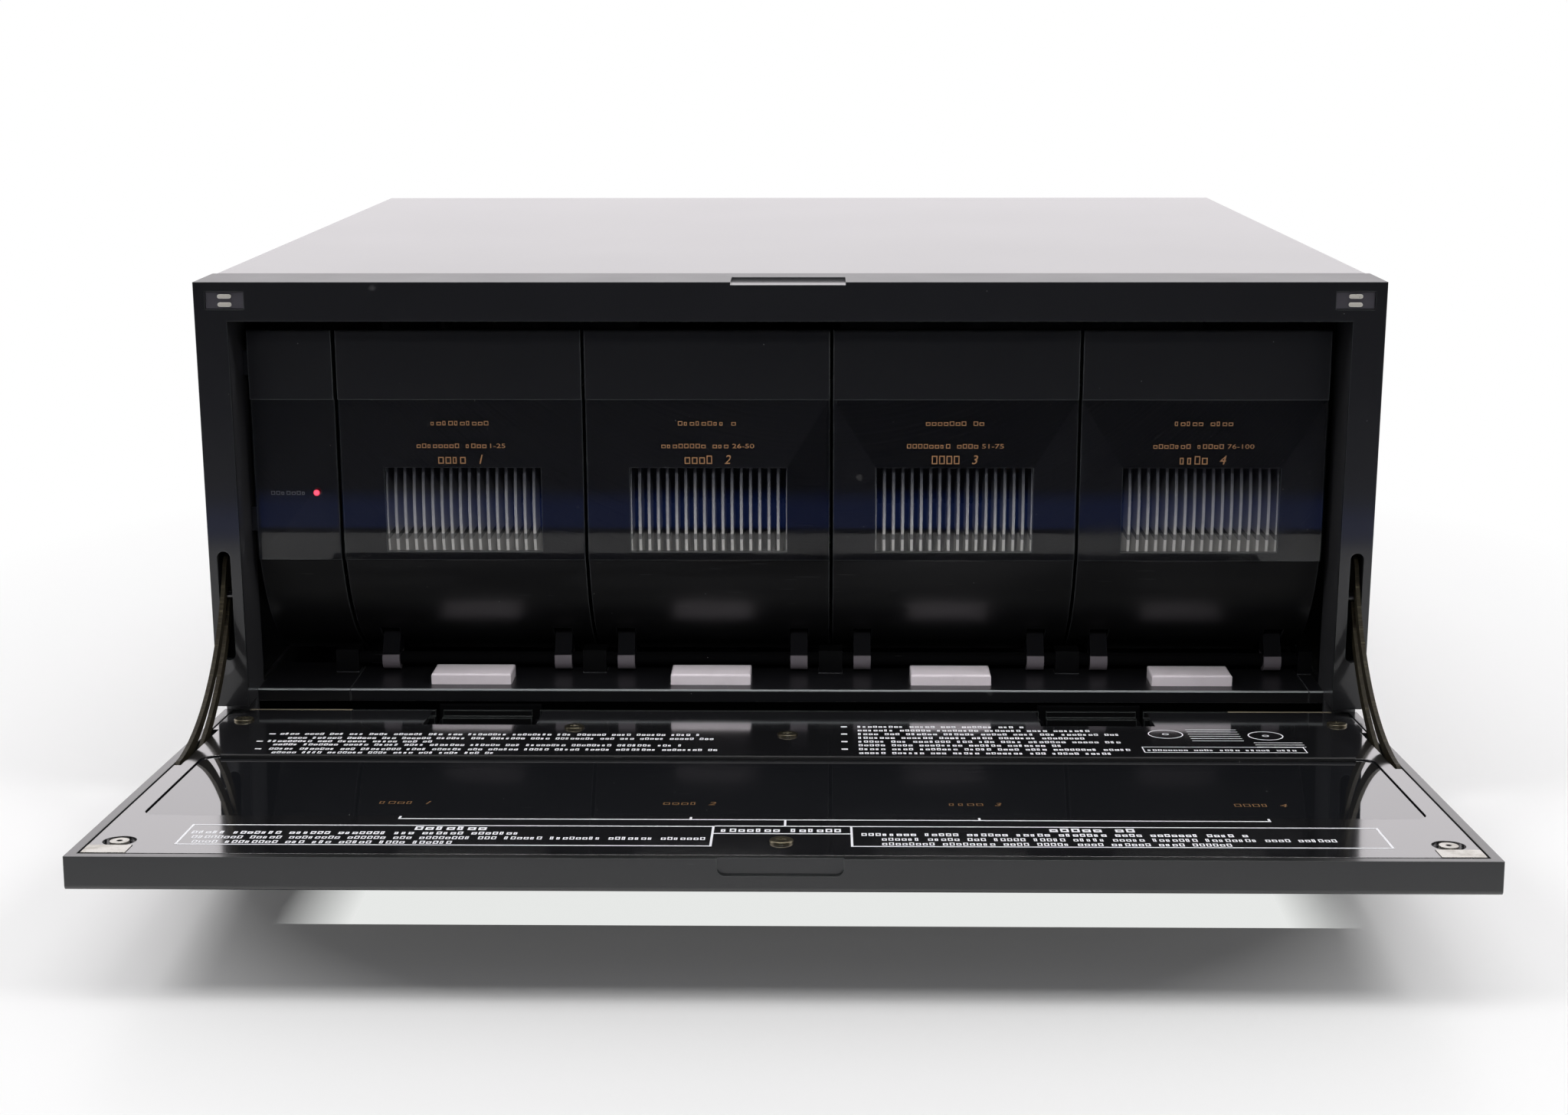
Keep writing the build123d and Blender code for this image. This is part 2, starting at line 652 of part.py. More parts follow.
with BuildPart() as door_frame:
    with BuildSketch(Plane.YZ.offset(-door_half)):
        with BuildLine():
            Polyline(
                door_point(door_heel, 0),
                door_point(door_tip, 0),
                door_point(door_tip, -door_thickness),
                door_point(chin_end + chin_ramp, -door_thickness),
                door_point(chin_end, -chin_thickness),
                door_point(door_heel, -chin_thickness),
                close=True,
            )
        make_face()
    extrude(amount=door_width)
    fillet(door_frame.edges().filter_by(Axis.X).group_by(Axis.Z)[0], 3.0)
    fillet(door_frame.edges().filter_by(Axis.X).group_by(Axis.Y)[0], 1.5)
    # seat of the liner, then the hollow behind it
    add(door_box(-inner_half, inner_half, heel_inner, tip_inner, -liner_thickness, 1.0),
        mode=Mode.SUBTRACT)
    hollow_half = inner_half - rim
    add(door_box(-hollow_half, hollow_half, heel_inner + rim, door_tip - tip_rim,
                 -door_thickness + door_skin, 0), mode=Mode.SUBTRACT)
    add(door_box(-hollow_half, hollow_half, heel_inner + rim, chin_end - 1.5,
                 -chin_thickness + chin_skin, 0), mode=Mode.SUBTRACT)
    # well wall that carries the pane
    add(door_box(-hollow_half, hollow_half, clear_far - 7, clear_near + 14,
                 -door_thickness + door_skin, pane_under))
    add(door_box(-clear_half, clear_half, clear_far, clear_near, -chin_thickness, 1, 3.0),
        mode=Mode.SUBTRACT)
    add(door_box(*lens_box, -chin_thickness, -door_thickness + lens_thickness),
        mode=Mode.SUBTRACT)
    # room for the stays beside the liner
    for side in (-1, 1):
        span = sorted((side * (stay_x - 2.6), side * inner_half))
        add(door_box(*span, 24, stay_pivot_s + stay_eye + 1.5, stay_room, 1),
            mode=Mode.SUBTRACT)
    # knuckle block between the ears of each hinge
    for side in (-1, 1):
        x = side * hinge_centre
        add(door_box(x - hinge_half - 3, x + hinge_half + 3, hinge_s - 5, hinge_s + 5.5,
                     -chin_thickness + 0.5, -5.0))
        for ear in ear_centres:
            ear_x = side * ear
            add(door_box(ear_x - relief_half, ear_x + relief_half, door_heel - 1,
                         hinge_s + ear_radius + 0.4, hinge_v - ear_radius - 0.3, 1),
                mode=Mode.SUBTRACT)
        add(rod(x - hinge_half - 6, x + hinge_half + 6, *hinge_point,
                hinge_pin_radius + running_gap), mode=Mode.SUBTRACT)
    # display window, key and button holes in the chin
    add(door_box(-display_half, display_half, *display_s, -chin_thickness - 1, -9),
        mode=Mode.SUBTRACT)
    for label, x, size in key_places:
        add(door_box(x - size[0] / 2 - moving_gap, x + size[0] / 2 + moving_gap,
                     key_s - size[1] / 2 - moving_gap, key_s + size[1] / 2 + moving_gap,
                     -chin_thickness - 1, -9), mode=Mode.SUBTRACT)
    # posts up to the board
    for x in board_posts:
        add(door_box(x - post_size / 2, x + post_size / 2, board_s[0] + 2,
                     board_s[0] + 2 + post_size, -chin_thickness + chin_skin, board_gap))
    # finger pull in the free edge, open to the inner face, with rounded lower corners
    with BuildPart() as pull_cut:
        add(door_box(-pull_width / 2, pull_width / 2, door_tip - pull_depth, door_tip + 2,
                     -pull_height, 1.0))
        fillet(pull_cut.edges().filter_by(lambda e: abs(e.tangent_at(0).Y) > 0.9)
               .sort_by(Axis.Z)[:2], pull_corner)
    add(pull_cut.part, mode=Mode.SUBTRACT)
save(door_frame.part, "door_frame")

# Flat liner with the window opening, hinge notches, stay notches and rounded far corners.
pane_play = 0.3
liner_heel = heel_inner + liner_seam / 2
strike_half = 6.6           # steel strike plate, let into the liner at its near edge
strike_x = liner_half - strike_half - 0.1
strike_far = 166.7
strike_depth = 0.8
strike_proud = 0.15
fixing_radius = 2.9         # disc that fixes it, in a round recess
fixing_x = door_half - 11.9
fixing_s = 162.2
fixing_top = 0.1
recess_radius = 5.0
recess_depth = 1.2
with BuildPart() as door_liner:
    add(door_box(-liner_half, liner_half, liner_heel, tip_inner - liner_seam,
                 -liner_thickness, 0))
    fillet(door_liner.edges().filter_by(lambda e: abs(e.tangent_at(0).dot(door_face.z_dir)) > 0.9)
           .group_by(Axis.Y)[-1], 9.0)
    add(door_box(-pane_half - pane_play, pane_half + pane_play, pane_far - pane_play,
                 pane_near + pane_play, -liner_thickness - 1, 1, pane_radius), mode=Mode.SUBTRACT)
    for side in (-1, 1):
        x = side * hinge_centre
        add(door_box(x - hinge_half - 1.5, x + hinge_half + 1.5, door_heel, hinge_s + 5.5,
                     -liner_thickness - 1, 1), mode=Mode.SUBTRACT)
        span = sorted((side * (stay_x - 1.9), side * inner_half))
        add(door_box(*span, 24, stay_pivot_s + stay_eye + 1.2, -liner_thickness - 1, 1),
            mode=Mode.SUBTRACT)
        plate = sorted((side * (strike_x - strike_half), side * (strike_x + strike_half)))
        add(door_box(*plate, strike_far, door_tip, -strike_depth, 1), mode=Mode.SUBTRACT)
        with BuildSketch(door_face.offset(-recess_depth)):
            with Locations((side * fixing_x, -fixing_s)):
                Circle(recess_radius)
        extrude(amount=recess_depth + 1, mode=Mode.SUBTRACT)
save(door_liner.part, "door_liner")

# Smoked pane set into the liner.
save(door_box(-pane_half, pane_half, pane_far, pane_near, pane_under, -pane_recess, pane_radius),
     "window_pane")

# Bead along the pane's hinge side, with a foot that holds the pane down.
with BuildPart() as window_trim:
    add(door_box(-pane_half + 6, pane_half - 6, pane_far + 0.2, pane_far + 2.2, -pane_recess, 0.0))
    with BuildSketch(Plane.YZ.offset(-pane_half + 6)):
        with Locations(door_point(pane_far + 1.2, 0)):
            Circle(bead)
    extrude(amount=2 * pane_half - 12)
    add(door_box(-pane_half, pane_half, pane_far - bead, pane_far + 4, pane_under, -pane_recess),
        mode=Mode.SUBTRACT)
save(window_trim.part, "window_trim")

# Outer lenses: the window's front sheet and the display window.
display_play = 0.2
with BuildPart() as window_lens:
    add(door_box(lens_box[0] + pane_play, lens_box[1] - pane_play, lens_box[2] + pane_play,
                 lens_box[3] - pane_play, -door_thickness, -door_thickness + lens_thickness))
with BuildPart() as display_lens:
    add(door_box(-display_half + display_play, display_half - display_play,
                 display_s[0] + display_play, display_s[1] - display_play,
                 -chin_thickness, -chin_thickness + lens_thickness))
    add(door_box(-display_half - 2, display_half + 2, display_s[0] - 2, display_s[1] + 2,
                 -chin_thickness + chin_skin, -chin_thickness + chin_skin + 1.0))
    add(door_box(-display_half + display_play, display_half - display_play,
                 display_s[0] + display_play, display_s[1] - display_play,
                 -chin_thickness + lens_thickness, -chin_thickness + chin_skin))
save(Compound(children=[window_lens.part, display_lens.part]), "front_lenses")

# Steel strike plates that meet the catches, and the disc that fixes each.
strikes = []
for side in (-1, 1):
    plate = sorted((side * (strike_x - strike_half), side * (strike_x + strike_half)))
    strikes.append(door_box(*plate, strike_far, tip_inner - liner_seam, -strike_depth,
                            strike_proud))
    with BuildPart() as fixing:
        with BuildSketch(door_face.offset(-recess_depth)):
            with Locations((side * fixing_x, -fixing_s)):
                Circle(fixing_radius)
        extrude(amount=recess_depth + fixing_top)
        with BuildSketch(door_face.offset(fixing_top)):
            with Locations((side * fixing_x, -fixing_s)):
                Circle(fixing_radius / 4)
        extrude(amount=-0.5, mode=Mode.SUBTRACT)
    strikes.append(fixing.part)
save(Compound(children=strikes), "door_strikes")

# Pan-head screws that hold the liner.
screw_radius = 3.6
screw_head = 0.8
screw_places = ((11.5 - door_half, 10.0), (-76.6, 20.0), (0.0, 30.0),
                (door_half - 11.9, 13.0), (0.0, 160.9))
screws = []
for x, s in screw_places:
    with BuildPart() as screw:
        with BuildSketch(door_face):
            with Locations((x, -s)):
                Circle(screw_radius)
        extrude(amount=screw_head)
        fillet(screw.faces().sort_by(Axis.Z)[-1].edges(), 0.4)
        with BuildSketch(door_face.offset(screw_head)):
            with Locations((x, -s)):
                Rectangle(3.0, 0.7)
                Rectangle(0.7, 3.0)
        extrude(amount=-screw_head / 2, mode=Mode.SUBTRACT)
    screws.append(screw.part)
save(Compound(children=screws), "liner_screws")

# Display board with its tube, in the hollow of the chin.
with BuildPart() as display_board:
    add(door_box(-board_half, board_half, *board_s, board_gap, board_v))
    add(door_box(-display_half + 4, display_half - 4, display_s[0] + 3, display_s[1] - 3,
                 -chin_thickness + chin_skin + 1.2, board_gap))
    for label, x, size in key_places:
        add(door_box(x - 2.5, x + 2.5, key_s - 2.5, key_s + 2.5, board_gap - 1.2, board_gap))
save(display_board.part, "display_board")

# Keys: cap through the chin, flange inside.
key_back = -chin_thickness + chin_skin + moving_gap + key_flange
for label, x, size in key_places:
    with BuildPart() as key:
        add(door_box(x - size[0] / 2, x + size[0] / 2, key_s - size[1] / 2, key_s + size[1] / 2,
                     -chin_thickness - key_proud, key_back))
        add(door_box(x - size[0] / 2 - 1.2, x + size[0] / 2 + 1.2, key_s - size[1] / 2 - 1.2,
                     key_s + size[1] / 2 + 1.2, key_back - key_flange, key_back))
    save(key.part, label)

# Stay pivots in the rim, and the hinge brackets with their pins.
save(both_sides(rod(stay_x - 1.6, inner_half, *stay_point, stay_pivot_radius)), "stay_pivots")

bracket_y = front_y + chassis_front
with BuildPart() as hinge_bracket:
    add(box(hinge_centre - hinge_half, hinge_centre + hinge_half, chassis_front - 1.6,
            chassis_front, foot_height + 2, chassis_wall_top - 1))
    for ear in ear_centres:
        with BuildSketch(Plane.YZ.offset(ear - ear_thickness / 2)):
            with Locations(hinge_point):
                Circle(ear_radius)
            with BuildLine():
                Polyline(
                    (hinge_point[0], hinge_point[1] - ear_radius),
                    (bracket_y - 1, hinge_point[1] - ear_radius),
                    (bracket_y - 1, hinge_point[1] + ear_radius),
                    (hinge_point[0], hinge_point[1] + ear_radius),
                    close=True,
                )
            make_face()
        extrude(amount=ear_thickness)
    add(rod(hinge_centre - hinge_half - 1.0, hinge_centre + hinge_half + 1.0, *hinge_point,
            hinge_pin_radius))
save(both_sides(hinge_bracket.part), "hinge_brackets")

# Stays: curved strips whose slot is the path of the guide pin as the door swings.
guide = (front_y + guide_back, guide_height)


def turn(point, about, angle):
    """Point turned about another in the Y-Z plane, in degrees from +Y towards +Z."""
    dy = point[0] - about[0]
    dz = point[1] - about[1]
    c = cos(radians(angle))
    s = sin(radians(angle))
    return (about[0] + dy * c - dz * s, about[1] + dy * s + dz * c)


def pin_in_stay(share):
    """Where the guide pin sits on the stay, with the door closed by this share."""
    pivot = turn(stay_point, hinge_point, -door_closed * share)
    moved = (guide[0] - pivot[0], guide[1] - pivot[1])
    straight = (stay_point[0] + moved[0], stay_point[1] + moved[1])
    return turn(straight, stay_point, stay_swing * share)


slot_open = pin_in_stay(0.0)
slot_middle = pin_in_stay(0.5)
slot_closed = pin_in_stay(1.0)
slot_path = ThreePointArc(slot_open, slot_middle, slot_closed)
arc_centre = slot_path.arc_center
arc_radius = slot_path.radius
slot_half = guide_radius + guide_play
stay_tip = 9.0              # strip left beyond the open end of the slot


def arc_angle(point):
    return degrees(atan2(point[1] - arc_centre.Y, point[0] - arc_centre.X))


def arc_slot(start, end, half):
    """Round-ended band along the stay's arc, between two angles in degrees."""
    with BuildSketch() as band:
        with BuildLine():
            outer = CenterArc((arc_centre.X, arc_centre.Y), arc_radius + half, start, end - start)
            inner = CenterArc((arc_centre.X, arc_centre.Y), arc_radius - half, start, end - start)
            for at, angle, way in ((0, start, -1), (1, end, 1)):
                cap = radians(angle) + way * half / arc_radius
                middle = (arc_centre.X + arc_radius * cos(cap),
                          arc_centre.Y + arc_radius * sin(cap))
                ThreePointArc(outer @ at, middle, inner @ at)
        make_face()
    return band.sketch


tip_angle = arc_angle(slot_open) + degrees(stay_tip / arc_radius)
with BuildPart() as stay:
    with BuildSketch(Plane.YZ.offset(stay_x - stay_thickness / 2)):
        add(arc_slot(arc_angle(stay_point), tip_angle, stay_half))
        # square off beyond the pivot and along the door's hollow
        with Locations(Location((*stay_point, 0), (0, 0, -door_tilt))):
            Rectangle(20, 40, align=(Align.MAX, Align.CENTER), mode=Mode.SUBTRACT)
        with Locations(Location((*door_point(stay_pivot_s, stay_floor), 0), (0, 0, -door_tilt))):
            Rectangle(80, 12, align=(Align.CENTER, Align.MAX), mode=Mode.SUBTRACT)
        with Locations(stay_point):
            Circle(stay_eye)
            Circle(stay_pivot_radius + running_gap, mode=Mode.SUBTRACT)
        add(arc_slot(arc_angle(slot_closed), arc_angle(slot_open), slot_half), mode=Mode.SUBTRACT)
    extrude(amount=stay_thickness)
save(stay.part, "stay_right")
save(mirror(stay.part, about=Plane.YZ), "stay_left")

# Guide pins across the hollow of each stile.
save(both_sides(rod(opening_half + bezel_wall, half_width - bezel_wall, *guide, guide_radius)),
     "stay_guides")

# ================================================================================================
# Carriage and drive behind the racks
# ================================================================================================

carriage_x = rack_centres[0] - slot_pitch * (slot_count - 1) / 2     # plane of the first slot
carriage_travel = rack_pitch * (rack_count - 1) + slot_pitch * (slot_count - 1)
plate_front = rod_front - 27.0
plate_rear = rod_rear + 6.0
plate_top = 172.0
plate_low = rod_height + 6.0
plate_x = (carriage_x - 12.0, carriage_x - 9.0)
foot_x = (carriage_x - 30.0, carriage_x - 6.0)
spindle_radius = 1.5
play_y = front_y + play_back
sled_rods = (disc_height - 8.0, disc_height + 8.0)
sled_rod_radius = 1.5
sled_x = carriage_x - 5.6
sled_front = play_back + 24.0
sled_length = 20.0
sled_travel = 35.0
clamp_height = plate_top - 4.0
clamp_x = carriage_x + 5.0
clamp_pin = 1.5
rod_end = chassis_half - chassis_sheet - 0.5
block_length = 9.0
with BuildPart() as carriage_frame:
    add(box(*foot_x, rod_front - 8, rod_rear + 8, rod_height - 6, plate_low))
    add(box(*plate_x, plate_front, plate_rear, plate_low - 1, plate_top))
    add(box(plate_x[0], clamp_x - 3.4, play_back - 14, play_back + 14, plate_top - 8, plate_top))
    for side in (-1, 1):
        ear_y = sorted((play_back + side * 10.4, play_back + side * 14))
        add(box(clamp_x - 4, clamp_x + 3, *ear_y, clamp_height - 3, clamp_height + 3))
    with BuildSketch(Plane.XZ.offset(-front_y - play_back + 14)):
        with Locations((clamp_x, clamp_height)):
            Circle(clamp_pin)
    extrude(amount=-28)
    for end in (sled_front - 3, sled_front + sled_length + sled_travel + 3):
        add(box(plate_x[1] - 0.5, sled_x + 2.5, end - 2, end + 2, sled_rods[0] - 3,
                sled_rods[1] + 3))
    for y in (rod_front, rod_rear):
        add(rod(foot_x[0] - 1, foot_x[1] + 1, front_y + y, rod_height, rod_radius + running_gap),
            mode=Mode.SUBTRACT)
    add(rod(carriage_x - 40, carriage_x, play_y, disc_height, spindle_radius + 2.0),
        mode=Mode.SUBTRACT)
    for z in sled_rods:
        with BuildSketch(Plane.XZ.offset(-front_y - sled_front + 5)):
            with Locations((sled_x, z)):
                Circle(sled_rod_radius)
        extrude(amount=-(sled_length + sled_travel + 10))
save(carriage_frame.part, "carriage_frame")

# Motors bolted to the carriage: spindle motor, and the closed drive box of the feed.
motor_radius = 14.0
motor_length = 22.0
with BuildPart() as carriage_motors:
    add(rod(plate_x[0] - motor_length, plate_x[0], play_y, disc_height, motor_radius))
    add(rod(plate_x[0] - motor_length - 2, plate_x[0] + 1, play_y, disc_height,
            spindle_radius + running_gap), mode=Mode.SUBTRACT)
with BuildPart() as drive_box:
    add(box(plate_x[0] - 26, plate_x[0], rod_front + 30, rod_rear - 30, plate_low, plate_low + 24))
    fillet(drive_box.edges().filter_by(Axis.Y), 2.0)
save(Compound(children=[carriage_motors.part, drive_box.part]), "carriage_motors")

# Turntable: shaft, platter and centring hub; turns about X.
table_radius = 16.0
with BuildPart() as turntable:
    add(rod(plate_x[0] - motor_length + 2, carriage_x - 3.4, play_y, disc_height, spindle_radius))
    add(rod(carriage_x - 3.6, carriage_x - 0.8, play_y, disc_height, table_radius))
    add(rod(carriage_x - 1.0, carriage_x + 1.6, play_y, disc_height, 7.4))
    chamfer(turntable.faces().sort_by(Axis.X)[-1].edges(), 1.0)
save(turntable.part, "turntable")

# Pickup sled on its two rods.
with BuildPart() as pickup:
    add(box(sled_x - 2.7, sled_x + 2.7, sled_front, sled_front + sled_length, sled_rods[0] - 4,
            sled_rods[1] + 4))
    for z in sled_rods:
        with BuildSketch(Plane.XZ.offset(-front_y - sled_front + 1)):
            with Locations((sled_x, z)):
                Circle(sled_rod_radius + running_gap)
        extrude(amount=-(sled_length + 2), mode=Mode.SUBTRACT)
    add(rod(sled_x + 2.5, sled_x + 3.6, front_y + sled_front + sled_length / 2, disc_height, 3.0))
save(pickup.part, "pickup_sled")

# Clamp arm with its ring, hinged at the top of the carriage.
with BuildPart() as clamp_arm:
    add(box(clamp_x - 0.8, clamp_x + 1.0, play_back - 10, play_back + 10, disc_height - 12,
            clamp_height))
    with BuildSketch(Plane.XZ.offset(-front_y - play_back + 10)):
        with Locations((clamp_x, clamp_height)):
            Circle(clamp_pin + 1.5)
    extrude(amount=-20)
    with BuildSketch(Plane.XZ.offset(-front_y - play_back + 11)):
        with Locations((clamp_x, clamp_height)):
            Circle(clamp_pin + running_gap)
    extrude(amount=-22, mode=Mode.SUBTRACT)
    with BuildSketch(Plane.YZ.offset(carriage_x + 0.9)):
        with Locations((play_y, disc_height)):
            Circle(table_radius - 1)
            Circle(9.0, mode=Mode.SUBTRACT)
    extrude(amount=clamp_x - 0.8 - carriage_x - 0.9)
save(clamp_arm.part, "clamp_arm")

# Guide rods across the cabinet with their end blocks.
rails = []
for y in (rod_front, rod_rear):
    rails.append(rod(-rod_end, rod_end, front_y + y, rod_height, rod_radius))
    for side in (-1, 1):
        with BuildPart() as block:
            span = sorted((side * rod_end, side * (rod_end - block_length)))
            add(box(*span, y - 8, y + 8, deck, rod_height + 7))
            add(rod(-half_width, half_width, front_y + y, rod_height, rod_radius),
                mode=Mode.SUBTRACT)
        rails.append(block.part)
save(Compound(children=rails), "guide_rods")

# Toothed feed strip on the floor.
tooth_pitch = 3.0
feed_y = (rod_front + rod_rear) / 2
tooth_count = round(2 * (rod_end - block_length - 11.3) / tooth_pitch)
with BuildPart() as feed_strip:
    add(box(-tooth_count * tooth_pitch / 2, tooth_count * tooth_pitch / 2, feed_y - 4, feed_y + 4,
            deck, deck + 2.5))
    with BuildSketch(Plane.XY.offset(deck + 2.5)):
        with Locations((0, front_y + feed_y)):
            with GridLocations(tooth_pitch, 0, tooth_count, 1):
                Rectangle(tooth_pitch / 2, 8.0)
    extrude(amount=1.2)
save(feed_strip.part, "feed_strip")

# ================================================================================================
# Electronics and rear sockets
# ================================================================================================

core_size = (58.0, rear_bay - 45.0, 48.0)
core_inset = 16.0           # from the cabinet's side
coil_size = (34.0, core_size[1] + 8.0, 32.0)
core_x = core_inset - half_width
core_y = rod_rear + 20.0
coil_x = core_x + (core_size[0] - coil_size[0]) / 2
coil_y = core_y + (core_size[1] - coil_size[1]) / 2
coil_low = deck + (core_size[2] - coil_size[2]) / 2
with BuildPart() as power_transformer:
    add(box(core_x, core_x + core_size[0], core_y, core_y + core_size[1], deck,
            deck + core_size[2]))
    fillet(power_transformer.edges().filter_by(Axis.Z), 2.0)
    add(box(coil_x, coil_x + coil_size[0], coil_y, coil_y + coil_size[1], coil_low,
            coil_low + coil_size[2]))
save(power_transformer.part, "power_transformer")

standoff = 8.0
standoff_half = 3.0
main_board_x = (core_x + core_size[0] + 26.0, half_width - 15.0)
main_board_y = (rod_rear + 16.0, rear_inner - 3.0)
board_low = deck + standoff
board_top = board_low + board_thickness
board_middle = sum(main_board_y) / 2
# each chip or can: its X, its place behind the board's middle, width, depth and height
board_chips = (
    (-80.0, -7.0, 24.0, 24.0, 3.0),
    (-30.0, -9.0, 18.0, 18.0, 3.0),
    (30.0, -5.0, 30.0, 12.0, 4.0),
    (70.0, -10.0, 12.0, 12.0, 14.0),
    (92.0, 5.0, 12.0, 12.0, 20.0),
)
with BuildPart() as main_board:
    add(box(*main_board_x, *main_board_y, board_low, board_top))
    for x in (main_board_x[0] + 6, sum(main_board_x) / 2, main_board_x[1] - 7):
        for y in (main_board_y[0] + 6, main_board_y[1] - 7):
            add(box(x - standoff_half, x + standoff_half, y - standoff_half, y + standoff_half,
                    deck, board_low))
    for x, behind, width, depth, height in board_chips:
        y = board_middle + behind
        add(box(x - width / 2, x + width / 2, y - depth / 2, y + depth / 2, board_top - 0.1,
                board_top + height))
save(main_board.part, "main_board")

# Pair of phono sockets on a block, with the optical socket.
phono_radius = 4.15
phono_bore = 1.65
phono_shoulder = 5.0
shoulder_reach = 0.6
with BuildPart() as audio_sockets:
    add(box(jack_x - 9, jack_x + 9, rear_inner - 14, rear_inner, jack_height - 10,
            jack_height + jack_spacing + 10))
    add(box(optical_x - 6, optical_x + 6, rear_inner - 14, rear_inner, jack_height - 8,
            jack_height + 8))
    add(box(optical_x - optical_size / 2, optical_x + optical_size / 2, rear_inner,
            body_depth + 1.5, jack_height - optical_size / 2, jack_height + optical_size / 2))
    add(box(optical_x, jack_x, rear_inner - 12, rear_inner - 6, jack_height - 6, jack_height + 6))
    add(box(jack_x - 9, jack_x + 9, rear_inner - 12, rear_inner - 8, board_top, jack_height))
    with BuildSketch(Plane.XZ.offset(-front_y - rear_inner)):
        with Locations((jack_x, jack_height), (jack_x, jack_height + jack_spacing)):
            Circle(phono_radius)
    extrude(amount=-(sheet + jack_reach))
    with BuildSketch(Plane.XZ.offset(-front_y - rear_inner)):
        with Locations((jack_x, jack_height), (jack_x, jack_height + jack_spacing)):
            Circle(phono_shoulder)
    extrude(amount=-(sheet + shoulder_reach))
    with BuildSketch(Plane.XZ.offset(-front_y - body_depth - jack_reach)):
        with Locations((jack_x, jack_height), (jack_x, jack_height + jack_spacing)):
            Circle(phono_bore)
    extrude(amount=jack_reach - 1, mode=Mode.SUBTRACT)
save(audio_sockets.part, "audio_sockets")

# Two-pin mains inlet.
pin_radius = 1.2
pin_spacing = 8.6
with BuildPart() as mains_inlet:
    add(box(inlet_x - inlet_width / 2 - 3, inlet_x + inlet_width / 2 + 3, body_depth,
            body_depth + 1.8, inlet_height - inlet_tall / 2 - 3, inlet_height + inlet_tall / 2 + 3))
    add(box(inlet_x - inlet_width / 2 + 0.1, inlet_x + inlet_width / 2 - 0.1, rear_inner - 18,
            body_depth, inlet_height - inlet_tall / 2 + 0.1, inlet_height + inlet_tall / 2 - 0.1))
    with BuildSketch(Plane.XZ.offset(-front_y - body_depth - 1.8)):
        with Locations((inlet_x, inlet_height)):
            SlotOverall(17.0, 8.2)
    extrude(amount=13.0, mode=Mode.SUBTRACT)
    with BuildSketch(Plane.XZ.offset(-front_y - body_depth + 12.0)):
        with Locations((inlet_x - pin_spacing / 2, inlet_height),
                       (inlet_x + pin_spacing / 2, inlet_height)):
            Circle(pin_radius)
    extrude(amount=-11.0)
save(mains_inlet.part, "mains_inlet")

# Round feet.
foot_radius = 21.0
foot_x_place = half_width - 42.0
foot_y_places = (48.0, body_depth - 48.0)
feet = []
for x in (-foot_x_place, foot_x_place):
    for y in foot_y_places:
        with BuildPart() as foot:
            with BuildSketch():
                with Locations((x, front_y + y)):
                    Circle(foot_radius)
            extrude(amount=foot_height)
            fillet(foot.faces().sort_by(Axis.Z)[0].edges(), 1.5)
        feet.append(foot.part)
save(Compound(children=feet), "feet")

# Cover screws: three on each side and four at the rear.
cover_screw_radius = 4.0
cover_screw_head = 2.0
heads = []
for side in (-1, 1):
    for y in (70.0, (body_depth + 22.0) / 2, body_depth - 38.0):
        with BuildPart() as head:
            with BuildSketch(Plane.YZ.offset(side * half_width)):
                with Locations((front_y + y, foot_height + 8)):
                    Circle(cover_screw_radius)
            extrude(amount=side * cover_screw_head)
        heads.append(head.part)
for x in (20.0 - half_width, -60.0, 60.0, half_width - 20.0):
    with BuildPart() as head:
        with BuildSketch(Plane.XZ.offset(-front_y - body_depth)):
            with Locations((x, body_height - 9)):
                Circle(cover_screw_radius)
        extrude(amount=-cover_screw_head)
    heads.append(head.part)
save(Compound(children=heads), "cover_screws")

print("joints, metres and degrees in the row frame")
print(" door hinge", [round(v / 1000, 6) for v in hinge_point], "closed", -door_closed)
print(" stay pivot", [round(v / 1000, 6) for v in stay_point],
      "ratio", round(-(door_closed - stay_swing) / door_closed, 6),
      "closed", round(door_closed - stay_swing, 3))
print(" rack pivot", (front_y + pivot_back) / 1000, pivot_height / 1000)
print(" carriage", carriage_travel / 1000, "play", play_y / 1000, "plane", carriage_x / 1000)
print(" clamp", clamp_x / 1000, clamp_height / 1000, "bezel face", front_y / 1000)
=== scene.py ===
"""Hundred-disc changer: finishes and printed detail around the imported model, and a plain studio."""
import math

import bpy
import numpy as np
from mathutils import Matrix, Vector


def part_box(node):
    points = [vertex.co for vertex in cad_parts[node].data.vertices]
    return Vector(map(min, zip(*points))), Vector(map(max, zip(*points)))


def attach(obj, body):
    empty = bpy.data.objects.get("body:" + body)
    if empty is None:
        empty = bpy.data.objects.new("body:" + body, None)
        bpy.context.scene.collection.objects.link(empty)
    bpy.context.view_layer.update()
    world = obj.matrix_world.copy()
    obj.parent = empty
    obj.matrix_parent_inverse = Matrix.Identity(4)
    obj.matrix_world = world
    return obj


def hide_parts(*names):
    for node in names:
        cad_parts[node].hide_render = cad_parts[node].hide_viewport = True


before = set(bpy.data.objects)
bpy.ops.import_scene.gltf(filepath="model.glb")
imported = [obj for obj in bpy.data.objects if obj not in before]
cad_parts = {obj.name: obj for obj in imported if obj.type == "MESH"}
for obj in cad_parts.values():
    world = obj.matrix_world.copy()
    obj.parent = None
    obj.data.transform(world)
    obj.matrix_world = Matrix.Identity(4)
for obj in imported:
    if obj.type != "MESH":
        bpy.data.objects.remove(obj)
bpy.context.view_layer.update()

# ---- studio ------------------------------------------------------------------------------------
# The changer stands on a white table in front of a white sweep.  A broad soft lamp hangs over it,
# one stands at each side and one behind, and a narrow spot falls on the racks.  The room in front
# is dark, with a blue cloth beyond the table, as the gloss panels show.
CAMERA_PLACE = (0.01105, -0.910054, 0.2839)
CAMERA_PITCH = 13.35
CAMERA_YAW = 0.896
CAMERA_ROLL = -0.106
